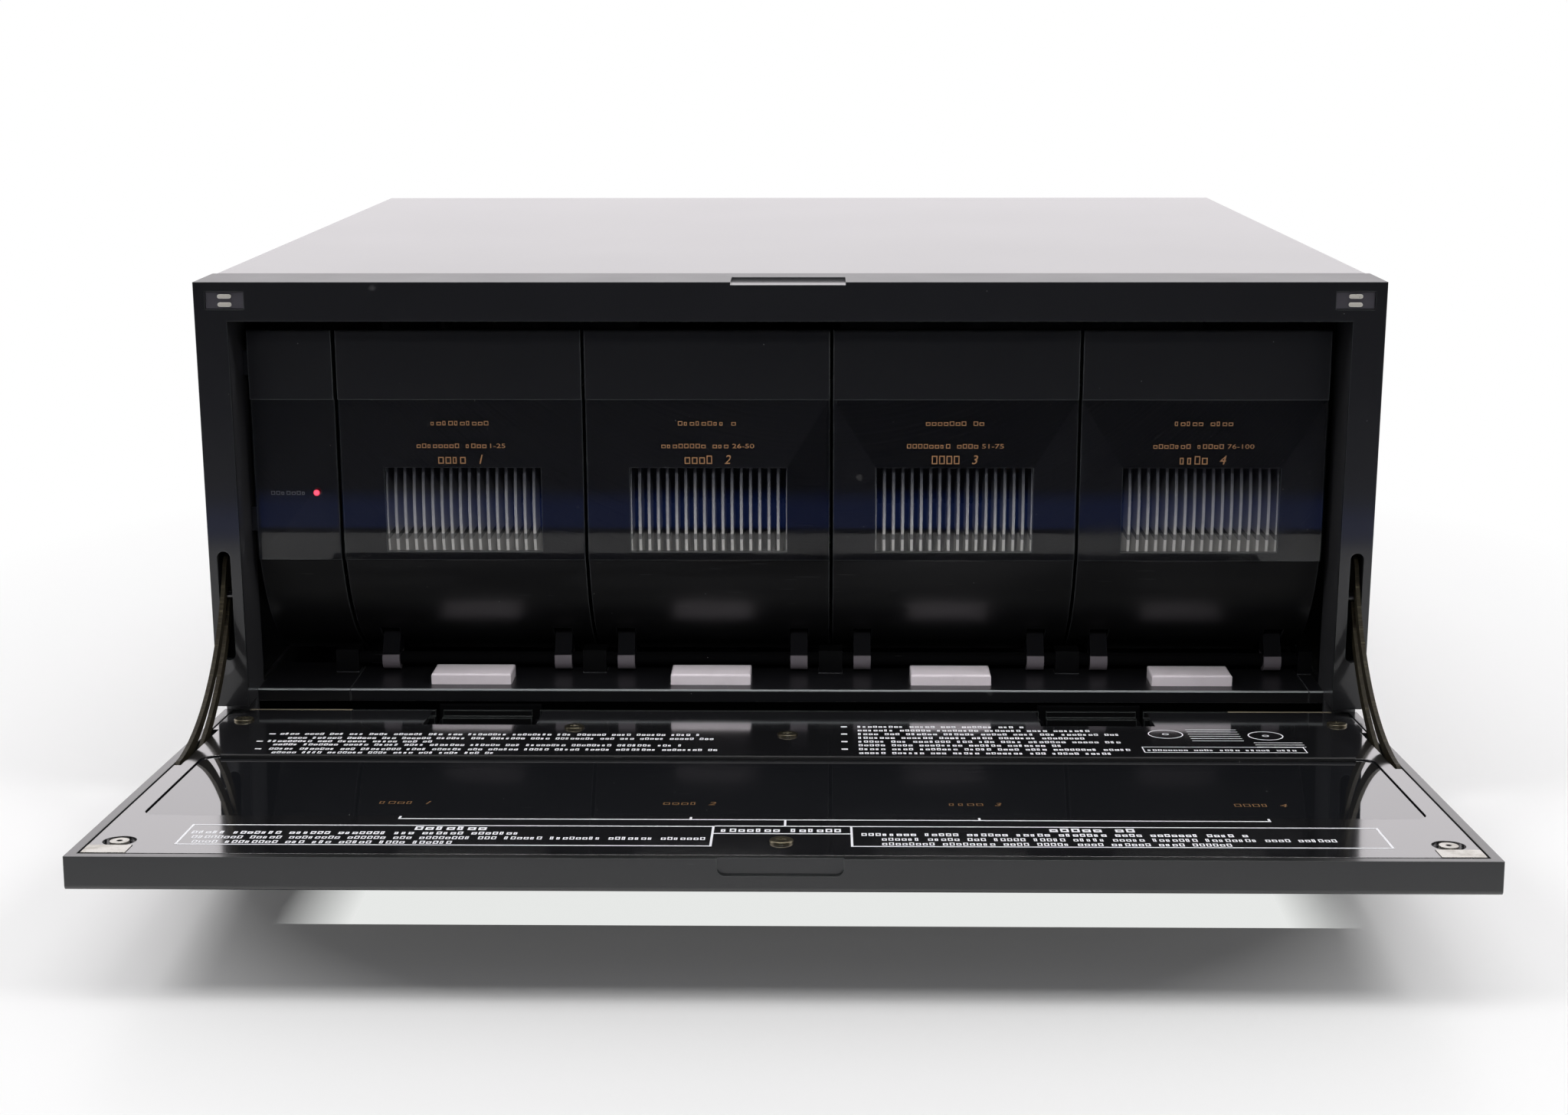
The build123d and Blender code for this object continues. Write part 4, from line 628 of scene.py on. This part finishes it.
def print_ink(name, colour, wear=0.3):
    """Screen-printed ink: slightly uneven, with a fine grain."""
    ink = Finish(name, colour, 0.5)
    dark = tuple(value * 0.45 for value in colour[:3]) + (1.0,)
    ink.tint(ink.ramp(ink.noise(ink.coords, 1500.0, 2.0), 0.5, 0.75) * wear, dark)
    ink.grain(ink.noise(ink.coords, 5000.0, 1.0), 0.000004)
    return ink.done()


chance = np.random.default_rng(25)
grey_ink = print_ink("print_grey", srgb(92, 92, 98))
mark_rects = []
for name in button_names:
    cap_low, cap_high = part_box(name)
    middle = (cap_low.x + cap_high.x) / 2
    mark_rects.append(marks_in_row(chance, middle - MARK_HALF, middle + MARK_HALF,
                                   cap_low.y - MARK_FRONT, MARK_HEIGHT, MARK_PITCH))
points, faces = slabs(np.concatenate(mark_rects))
marks = closed_mesh("eject_marks", in_place(points, (0, 0, LEDGE_TOP), (1, 0, 0), (0, 1, 0)),
                    faces, grey_ink)
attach(marks, "cabinet")

# ---- disc racks --------------------------------------------------------------------------------
# Each rack is a light-grey comb with twenty-five slots between the black cheeks of its front.  Its
# fins are painted darker upwards as shade, with a painted shadow line across them, and its lugs are
# painted in deep shade above their feet and in lighter shade at them.  The front is satin above a
# smoked acrylic window, which is printed in gold on its face.
FIN_SHADE = (0.0905, 0.117)
FIN_BREAK_SHADOW = (0.0945, 0.0966)
LUG_DEEP_SHADE = 0.022
LUG_SHADED_FOOT = 0.0064
TAB_WIDTH = 0.0020
TITLE_FOOT = 0.1381
TITLE_HALF = 0.0108
TITLE_HEIGHT = 0.0016
TITLE_PITCH = 0.00216
RANGES = ("1-25", "26-50", "51-75", "76-100")
RANGE_FOOT = 0.1297
RANGE_HEIGHT = 0.00165
RANGE_PITCH = 0.00205
RANGE_STRETCH = 1.5
RANGE_HALF = 0.0162
RANGE_WIDENS = 0.0007
RANGE_GAP = 0.0009
NAME_FOOT = 0.1239
NAME_SIDES = (-0.0085, 0.0022)
NAME_HEIGHT = 0.0031
NAME_PITCH = 0.0026
NAME_WEIGHT = 0.12
FIGURE_PLACE = (0.0072, NAME_FOOT, 0.0)
FIGURE_HEIGHT = 0.0033
FIGURE_SLANT = 0.25
rack_satin = moulded("rack_satin_black", srgb(17, 17, 18), 0.36, grain=0.000014, **{
    "Coat Weight": 0.2, "Coat Roughness": 0.2})
# Painted highlight along the fronts' edges, with wear.
rack_satin.tint(rack_satin.edges(0.0006) * 0.55, srgb(120, 124, 126))
# The standby panel's tabs at its left end are painted darker, as shade inside the bezel.
panel_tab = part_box("standby_panel")[0].x + TAB_WIDTH
rack_satin.tint(rack_satin.part(rack_satin.coords, 0) < panel_tab, srgb(10, 10, 11))
comb_grey = Finish("comb_light_grey", srgb(238, 236, 232), 0.6, **{"Specular IOR Level": 0.25})
comb_grey.rounded(0.00006)
comb_grey.grain(comb_grey.noise(comb_grey.coords, 2400.0), 0.000008)
comb_grey.tint(comb_grey.ramp(comb_grey.noise(comb_grey.coords, 90.0), 0.45, 0.8) * 0.25,
               srgb(168, 166, 160))
height = comb_grey.part(comb_grey.coords, 2)
lug_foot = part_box("rack_1_comb")[0].z
# Painted shade: the fins darken upwards.
comb_grey.tint(comb_grey.ramp(height, *FIN_SHADE) * 0.95, srgb(76, 78, 88))
# A painted shadow line runs across the fins where their upper and lower parts meet.
comb_grey.tint((height > FIN_BREAK_SHADOW[0]) * (height < FIN_BREAK_SHADOW[1]) * 0.8, srgb(52, 54, 60))
# Painted shade: the lugs are near-black above their feet and dim grey at their feet.
comb_grey.tint(height < lug_foot + LUG_DEEP_SHADE, srgb(16, 16, 18))
comb_grey.tint(height < lug_foot + LUG_SHADED_FOOT, srgb(96, 91, 96))
smoked = Finish("smoked_window", srgb(6, 6, 8), IOR=2.5)
smoked.rounded(0.0003)
dust = smoked.specks(150.0, 0.03, 0.4)
smoked.tint(dust * 0.6, srgb(150, 150, 150))
# Painted highlight along the window's edges.
smoked.tint(smoked.edges(0.0006) * 0.25, srgb(120, 126, 126))
smoked.values["Alpha"] = 0.17 + dust * 0.4
smoked.roughness = 0.02 + smoked.ramp(smoked.noise(smoked.coords, 30.0), 0.5, 0.8) * 0.05
racks = range(1, 5)
dress(rack_satin, *(f"rack_{n}_front" for n in racks), "standby_panel")
dress(comb_grey, *(f"rack_{n}_comb" for n in racks))
dress(smoked, *(f"rack_{n}_window" for n in racks), "standby_window")
gold_ink = print_ink("print_gold", srgb(142, 106, 74))


def numerals(text, height, slant=0.0, stretch=1.0):
    """Plane points and faces of plain numerals, from the font's outlines: scaled to the height,
    with their middle at u = 0 and their foot at w = 0."""
    curve = bpy.data.curves.new("numerals", "FONT")
    curve.body = text
    curve.size = 1.0
    curve.shear = slant
    curve.resolution_u = 3
    curve.extrude = 0.05
    holder = bpy.data.objects.new("numerals", curve)
    bpy.context.scene.collection.objects.link(holder)
    bpy.context.view_layer.update()
    mesh = bpy.data.meshes.new_from_object(holder)
    bpy.data.objects.remove(holder)
    points = np.empty(len(mesh.vertices) * 3)
    mesh.vertices.foreach_get("co", points)
    points = points.reshape(-1, 3)
    faces = [list(face.vertices) for face in mesh.polygons]
    scale = height / np.ptp(points[:, 1])
    points[:, 0] = (points[:, 0] - points[:, 0].min()) * scale * stretch
    points[:, 1] = (points[:, 1] - points[:, 1].min()) * scale
    points[:, 2] = np.where(points[:, 2] > 0, MARK_RISE, -MARK_SINK)
    points[:, 0] -= np.ptp(points[:, 0]) / 2
    return points, faces


def joined(parts):
    """One list of points and faces from several, each (points, faces)."""
    starts = np.cumsum([0] + [len(points) for points, faces in parts[:-1]])
    faces = [[start + i for i in face] for start, (points, some) in zip(starts, parts)
             for face in some]
    return np.concatenate([points for points, some in parts]), faces


for number, discs in zip(racks, RANGES):
    window_low, window_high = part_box(f"rack_{number}_window")
    middle = (window_low.x + window_high.x) / 2
    half = RANGE_HALF + RANGE_WIDENS * (number - 1)
    digits, digit_faces = numerals(discs, RANGE_HEIGHT, stretch=RANGE_STRETCH)
    digits[:, 0] += half - np.ptp(digits[:, 0]) / 2
    digits[:, 1] += RANGE_FOOT
    digits_start = digits[:, 0].min() - RANGE_GAP
    figure, figure_faces = numerals(str(number), FIGURE_HEIGHT, FIGURE_SLANT)
    figure += FIGURE_PLACE
    lines = np.concatenate([
        marks_in_row(chance, -TITLE_HALF, TITLE_HALF, TITLE_FOOT, TITLE_HEIGHT, TITLE_PITCH),
        marks_in_row(chance, -half, digits_start, RANGE_FOOT, RANGE_HEIGHT, RANGE_PITCH),
        marks_in_row(chance, *NAME_SIDES, NAME_FOOT, NAME_HEIGHT, NAME_PITCH, NAME_WEIGHT)])
    points, faces = joined([slabs(lines), (digits, digit_faces), (figure, figure_faces)])
    print_piece = closed_mesh(
        f"rack_{number}_print",
        in_place(points, (middle, window_low.y, 0.0), (1, 0, 0), (0, 0, 1)), faces, gold_ink)
    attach(print_piece, f"rack_{number}")

# ---- standby lamp ------------------------------------------------------------------------------
# A small red lens stands through the fixed panel at the left, with a printed mark beside it.  A
# bulb lights its middle, and its rim is darker.
LENS_RIM = (0.0010, 0.0013)
LENS_GLOW = (0.0007, 0.0012)
STANDBY_SIDES = (-0.1900, -0.1768)
STANDBY_FOOT = 0.1122
STANDBY_PITCH = 0.0019
lamp_red = Finish("lamp_red", srgb(255, 60, 90), 0.2, **{"Emission Strength": 0.9})
lens_low, lens_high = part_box("standby_lens")
lens_middle = tuple((low_side + high_side) / 2 for low_side, high_side in zip(lens_low, lens_high))
offset = lamp_red.node("ShaderNodeVectorMath", {"operation": "SUBTRACT"},
                       {0: lamp_red.coords, 1: lens_middle})
flat = lamp_red.node("ShaderNodeVectorMath", {"operation": "MULTIPLY"},
                     {0: offset, 1: (1.0, 0.0, 1.0)})
away = lamp_red.node("ShaderNodeVectorMath", {"operation": "LENGTH"}, {0: flat}, "Value")
lamp_red.tint(lamp_red.ramp(away, *LENS_RIM), srgb(60, 10, 16))
lamp_red.values["Emission Color"] = lamp_red.mix(lamp_red.ramp(away, *LENS_GLOW),
                                                 srgb(255, 96, 124), srgb(60, 4, 10))
dress(lamp_red, "standby_lens")
points, faces = slabs(marks_in_row(chance, *STANDBY_SIDES, STANDBY_FOOT, MARK_HEIGHT,
                                   STANDBY_PITCH))
panel_face = (0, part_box("standby_window")[0].y, 0)
standby_mark = closed_mesh("standby_mark", in_place(points, panel_face, (1, 0, 0), (0, 0, 1)),
                           faces, grey_ink)
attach(standby_mark, "cabinet")

# ---- drop-down door ----------------------------------------------------------------------------
# The door is a moulded black frame with a control panel on its outer face.  A gloss black liner,
# printed in white, is screwed into it and holds the smoked pane.  Open, it lies a little above level;
# its frame is painted dark as shade on the inner side towards the hinges, and pale beige at the inner
# corners there.
DOOR_TILT = math.radians(3.76)
DOOR_RISE = 0.0331
PANE_RECESS = 0.0005
INNER_LEVEL = -0.009
INNER_END = -0.150
INNER_HALF = 0.2
PALE_CORNER_HALF = 0.162
PALE_CORNER_END = -0.113
door_black = moulded("door_black", srgb(25, 26, 26), 0.36, **{
    "Coat Weight": 0.9, "Coat Roughness": 0.12})
door_across, door_along, door_up_down = (door_black.part(door_black.coords, i) for i in range(3))
# Height over the plane of the inner face, which leans by the door's tilt.  The frame's inner side
# towards the hinges is painted dark, as shade.
level = ((door_along - bezel_face) * math.sin(DOOR_TILT)
         + (door_up_down - DOOR_RISE) * math.cos(DOOR_TILT))
inside = (level > INNER_LEVEL) * (door_along > INNER_END)
inside = inside * (door_across * door_across < INNER_HALF ** 2)
# Painted shade on the frame's inner side towards the hinges.
door_black.tint(inside, srgb(9, 9, 10))
# Inside, the corners by the hinges are coloured pale beige.
pale_corners = inside * (door_across * door_across > PALE_CORNER_HALF ** 2) * (door_along > PALE_CORNER_END)
door_black.tint(pale_corners, srgb(132, 122, 104))
# Painted highlight along the frame's edges, with wear.
door_black.tint(door_black.edges(0.0005) * 0.35, srgb(118, 126, 124))
dress(door_black, "door_frame")
liner_gloss = Finish("liner_gloss_black", srgb(26, 26, 28), **{
    "IOR": 2.6, "Coat Weight": 1.0, "Coat Roughness": 0.09, "Coat IOR": 2.2})
liner_gloss.rounded(0.0004)
liner_gloss.tint(liner_gloss.specks(120.0, 0.03, 0.4) * 0.5, srgb(140, 140, 140))
liner_gloss.tint(liner_gloss.hairlines(70.0, 0.02, 0.00018, 0.22) * 0.35, srgb(90, 90, 92))
liner_gloss.roughness = 0.09 + liner_gloss.noise(liner_gloss.coords, 30.0) * 0.06
dress(liner_gloss, "door_liner")
dress(moulded("trim_black", srgb(16, 16, 17), 0.4, **{"Specular IOR Level": 0.4}), "window_trim")
pane = Finish("pane_smoked", srgb(27, 28, 31), **{
    "Alpha": 0.94, "IOR": 2.4, "Coat Weight": 1.0, "Coat Roughness": 0.01, "Coat IOR": 2.0})
pane.tint(pane.specks(110.0, 0.035, 0.5) * 0.7, srgb(150, 152, 150))
pane.tint(pane.hairlines(48.0, 0.012, 0.00025, 0.2) * 0.4, srgb(120, 116, 110))
pane.roughness = 0.02 + pane.noise(pane.coords, 22.0) * 0.05
dress(pane, "window_pane", "front_lenses")
door_origin = (0.0, bezel_face, DOOR_RISE)
door_up = (0.0, math.cos(DOOR_TILT), -math.sin(DOOR_TILT))


def on_door(name, print_shape, ink, depth=0.0):
    """Printed piece on the door's inner face, from plane points and faces: u is X, and w is 0 at
    the hinges and falls towards the free edge."""
    points, faces = print_shape
    points = points + (0.0, 0.0, depth)
    piece = closed_mesh(name, in_place(points, door_origin, (1, 0, 0), door_up), faces, ink)
    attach(piece, "door")


def frame_rects(left, right, near, far, line):
    """Four strips around a rectangle given by its limits along the door."""
    return [(left, right, -near, -near + line), (left, right, -far - line, -far),
            (left, left + line, -near + line, -far - line),
            (right - line, right, -near + line, -far - line)]


LINE = 0.0007
FINE_LINE = 0.0004
LEFT_FRAME = (-0.1804, -0.0206, 0.1657, 0.1445)
RIGHT_FRAME = (0.0207, 0.1809, 0.1656, 0.1441)
FRAME_TIES = (-0.1447, -0.1527)
BRACKET = -0.1378
BRACKET_STEM = (0.0005, -0.1441)
BRACKET_DROPS = (-0.1187, -0.0287, 0.0603, 0.1493)
BRACKET_FOOT = -0.1348
FRAMED_NOTES = (
    (-0.0185, 0.0185, -0.1506, 0.0034, 0.0027, 0.24),
    (-0.1116, -0.0890, -0.1496, 0.0036, 0.0033, 0.26),
    (-0.1784, -0.0788, -0.1543, 0.0028, 0.0021, 0.26),
    (-0.1771, -0.0224, -0.1592, 0.0028, 0.00196, 0.18),
    (-0.1758, -0.0977, -0.1640, 0.0028, 0.0020, 0.18),
    (0.0810, 0.1075, -0.1496, 0.0036, 0.0033, 0.26),
    (0.0240, 0.1405, -0.1543, 0.0028, 0.0021, 0.26),
    (0.0300, 0.1660, -0.1592, 0.0028, 0.00196, 0.18),
    (0.0300, 0.1340, -0.1640, 0.0028, 0.0020, 0.18))
LEFT_NOTES = ((-0.1800, -0.0305, 0.0300), (-0.1760, -0.0255, 0.0357), (-0.1820, -0.1240, 0.0405),
              (-0.1790, -0.0360, 0.0452), (-0.1790, -0.0235, 0.0512), (-0.1770, -0.1000, 0.0562))
LEFT_BULLETS = ((-0.1840, 0.0300), (-0.1860, 0.0405), (-0.1840, 0.0512))
RIGHT_NOTES = ((0.0850, 0.0172), (0.1080, 0.0226), (0.1180, 0.0280), (0.1050, 0.0334),
               (0.1170, 0.0388), (0.0960, 0.0440), (0.1190, 0.0494), (0.1120, 0.0548))
RIGHT_NOTES_START = 0.0250
RIGHT_BULLET = 0.0190
BULLET_WIDTH = 0.0022
BULLET_DROP = 0.0010
LEFT_BULLET_RISE = 0.0002
RIGHT_BULLET_RISE = 0.0006
NOTE_DROP = 0.0014
NOTE_HEIGHT = 0.0026
LEFT_NOTE_MARKS = (0.00176, 0.24)
RIGHT_NOTE_MARKS = (0.0019, 0.26)
TAG_FRAME = (0.1230, 0.1790, 0.0530, 0.0452)
TAG_LINE = (0.1245, 0.1760, -0.0508, 0.0020, 0.0018)
white_ink = print_ink("print_white", srgb(222, 222, 226), 0.15)
# A bracket runs over the four rack numbers, with its stem in the tie between two framed notices.
strips = [(BRACKET_DROPS[0], BRACKET_DROPS[-1] + LINE, BRACKET, BRACKET + LINE)]
strips += [(BRACKET_STEM[0], BRACKET_STEM[0] + LINE, BRACKET_STEM[1], BRACKET)]
strips += [(x, x + LINE, BRACKET + LINE, BRACKET_FOOT) for x in BRACKET_DROPS]
strips += frame_rects(*LEFT_FRAME, LINE)
strips += frame_rects(*RIGHT_FRAME, LINE)
strips += [(LEFT_FRAME[1], RIGHT_FRAME[0], tie, tie + LINE) for tie in FRAME_TIES]
strips += frame_rects(*TAG_FRAME, FINE_LINE)
# Each printed line is (left, right, foot, height, pitch, weight).
text_lines = [marks_in_row(chance, *row) for row in (
    *FRAMED_NOTES,
    *((left, right, -far - NOTE_DROP, NOTE_HEIGHT, *LEFT_NOTE_MARKS)
      for left, right, far in LEFT_NOTES),
    *((RIGHT_NOTES_START, right, -far - NOTE_DROP, NOTE_HEIGHT, *RIGHT_NOTE_MARKS)
      for right, far in RIGHT_NOTES),
    TAG_LINE)]
bullets = [(RIGHT_BULLET, RIGHT_BULLET + BULLET_WIDTH, -far - BULLET_DROP,
            -far + RIGHT_BULLET_RISE)
           for right, far in RIGHT_NOTES[::2]]
bullets += [(left, left + BULLET_WIDTH, -far - BULLET_DROP, -far + LEFT_BULLET_RISE)
            for left, far in LEFT_BULLETS]
on_door("liner_lines", slabs(np.concatenate([strips, *text_lines, bullets])), white_ink)


def ring_mark(u, w, outer, inner, around=40):
    """Flat ring about (u, w) as a closed tube of four edges: points at radius inner or outer and
    at evenly spaced angles, below and above the printed plane."""
    angle = np.linspace(0, 2 * np.pi, around, endpoint=False)
    radius = np.array([inner, outer, outer, inner])[:, None]
    depth = np.array([-MARK_SINK, -MARK_SINK, MARK_RISE, MARK_RISE])[:, None] + 0 * angle
    points = np.stack([u + radius * np.cos(angle), w + radius * np.sin(angle), depth], axis=-1)
    index = np.arange(4 * around).reshape(4, around)
    side = np.roll(index, -1, axis=1)
    below = np.roll(index, -1, axis=0)
    corner = np.roll(side, -1, axis=0)
    return points.reshape(-1, 3), np.stack([index, side, corner, below], -1).reshape(-1, 4).tolist()


DISC_CENTRES = ((0.1340, -0.0270), (0.1690, -0.0290))
DISC_RADII = (0.0062, 0.0012)
UPPER_SLOTS = (0.1420, 0.1600)
UPPER_SLOT_FEET = -0.0205 - 0.0032 * np.arange(6)
LOWER_SLOTS = (0.1630, 0.1800)
LOWER_SLOT_FEET = -0.0392 - 0.0030 * np.arange(3)
disc_marks = [ring_mark(*centre, radius, radius - FINE_LINE)
              for centre in DISC_CENTRES for radius in DISC_RADII]
slot_lines = [(*UPPER_SLOTS, foot, foot + FINE_LINE) for foot in UPPER_SLOT_FEET]
slot_lines += [(*LOWER_SLOTS, foot, foot + FINE_LINE) for foot in LOWER_SLOT_FEET]
on_door("liner_pictures", joined([slabs(slot_lines), *disc_marks]), white_ink)
PANE_COLUMNS = (-0.1197, -0.0296, 0.0608, 0.1508)
PANE_WORD = np.array([-0.0085, 0.0030])
PANE_WORD_MARKS = (-0.1190, 0.0030, 0.0028, NAME_WEIGHT)
PANE_FIGURE = (0.0070, -0.1192, 0.0)
PANE_FIGURE_HEIGHT = 0.0034
rack_marks = []
for number, middle in zip(racks, PANE_COLUMNS):
    figure, figure_faces = numerals(str(number), PANE_FIGURE_HEIGHT, FIGURE_SLANT)
    figure += PANE_FIGURE
    figure[:, 0] += middle
    word = marks_in_row(chance, *(middle + PANE_WORD), *PANE_WORD_MARKS)
    rack_marks += [slabs(word), (figure, figure_faces)]
on_door("pane_marks", joined(rack_marks), print_ink("print_dull_gold", srgb(104, 76, 46)),
        depth=-PANE_RECESS)
key_names = [f"key_{number}" for number in range(1, 5)]
dress(moulded("key_black", srgb(46, 46, 48), 0.4), "power_button", *key_names)

# ---- door stays --------------------------------------------------------------------------------
# Two slotted strips of passivated steel hold the open door.  Each turns on a pin in the door and
# slides over a pin in the cabinet, and its plating is olive and brown.
stay_steel = Finish("stay_olive_plate", srgb(42, 39, 30), **{
    "Metallic": 0.3, "Specular IOR Level": 0.3})
stay_steel.rounded(0.0003)
stay_steel.tint(stay_steel.ramp(stay_steel.noise(stay_steel.coords, 70.0), 0.4, 0.7) * 0.7,
                srgb(36, 29, 20))
stay_steel.tint(stay_steel.hairlines(86.0, 0.02, 0.0001, 0.35) * 0.5, srgb(124, 116, 92))
stay_steel.roughness = 0.42 + stay_steel.noise(stay_steel.coords, 200.0) * 0.16
dress(stay_steel, "stay_left", "stay_right")

# ---- carriage and boards -----------------------------------------------------------------------
# Behind the racks a carriage runs on two rods and plays a disc upright; it is moulded in grey,
# with plated motors.  The main board and the transformer stand at the rear, and the display board
# is in the door's thick end.
dress(moulded("mechanism_grey", srgb(120, 122, 126), 0.42), "carriage_frame", "pickup_sled",
      "clamp_arm", "turntable")
dress(bright("motor_can", srgb(176, 178, 180), 0.3, srgb(120, 122, 124)), "carriage_motors",
      "power_transformer")
board_green = Finish("board_green", srgb(34, 84, 52), 0.35, **{"Coat Weight": 0.4})
tracks = board_green.node("ShaderNodeTexBrick", {"offset": 0.37}, {
    "Vector": board_green.coords, "Scale": 120.0, "Mortar Size": 0.03}, "Fac")
board_green.tint(tracks * 0.6, srgb(96, 150, 96))
board_green.grain(tracks, 0.00003)
dress(board_green, "main_board", "display_board")

# ---- rear sockets and feet ---------------------------------------------------------------------
# The audio sockets are plated with gold and the mains inlet is moulded in black.  The changer
# stands on four round black feet.
dress(bright("socket_gold", srgb(214, 172, 92), 0.25, srgb(160, 120, 60)), "audio_sockets")
dress(moulded("socket_black", srgb(26, 26, 28), 0.42), "mains_inlet")
dress(moulded("foot_black", srgb(28, 28, 30), 0.5, grain=0.00003), "feet")
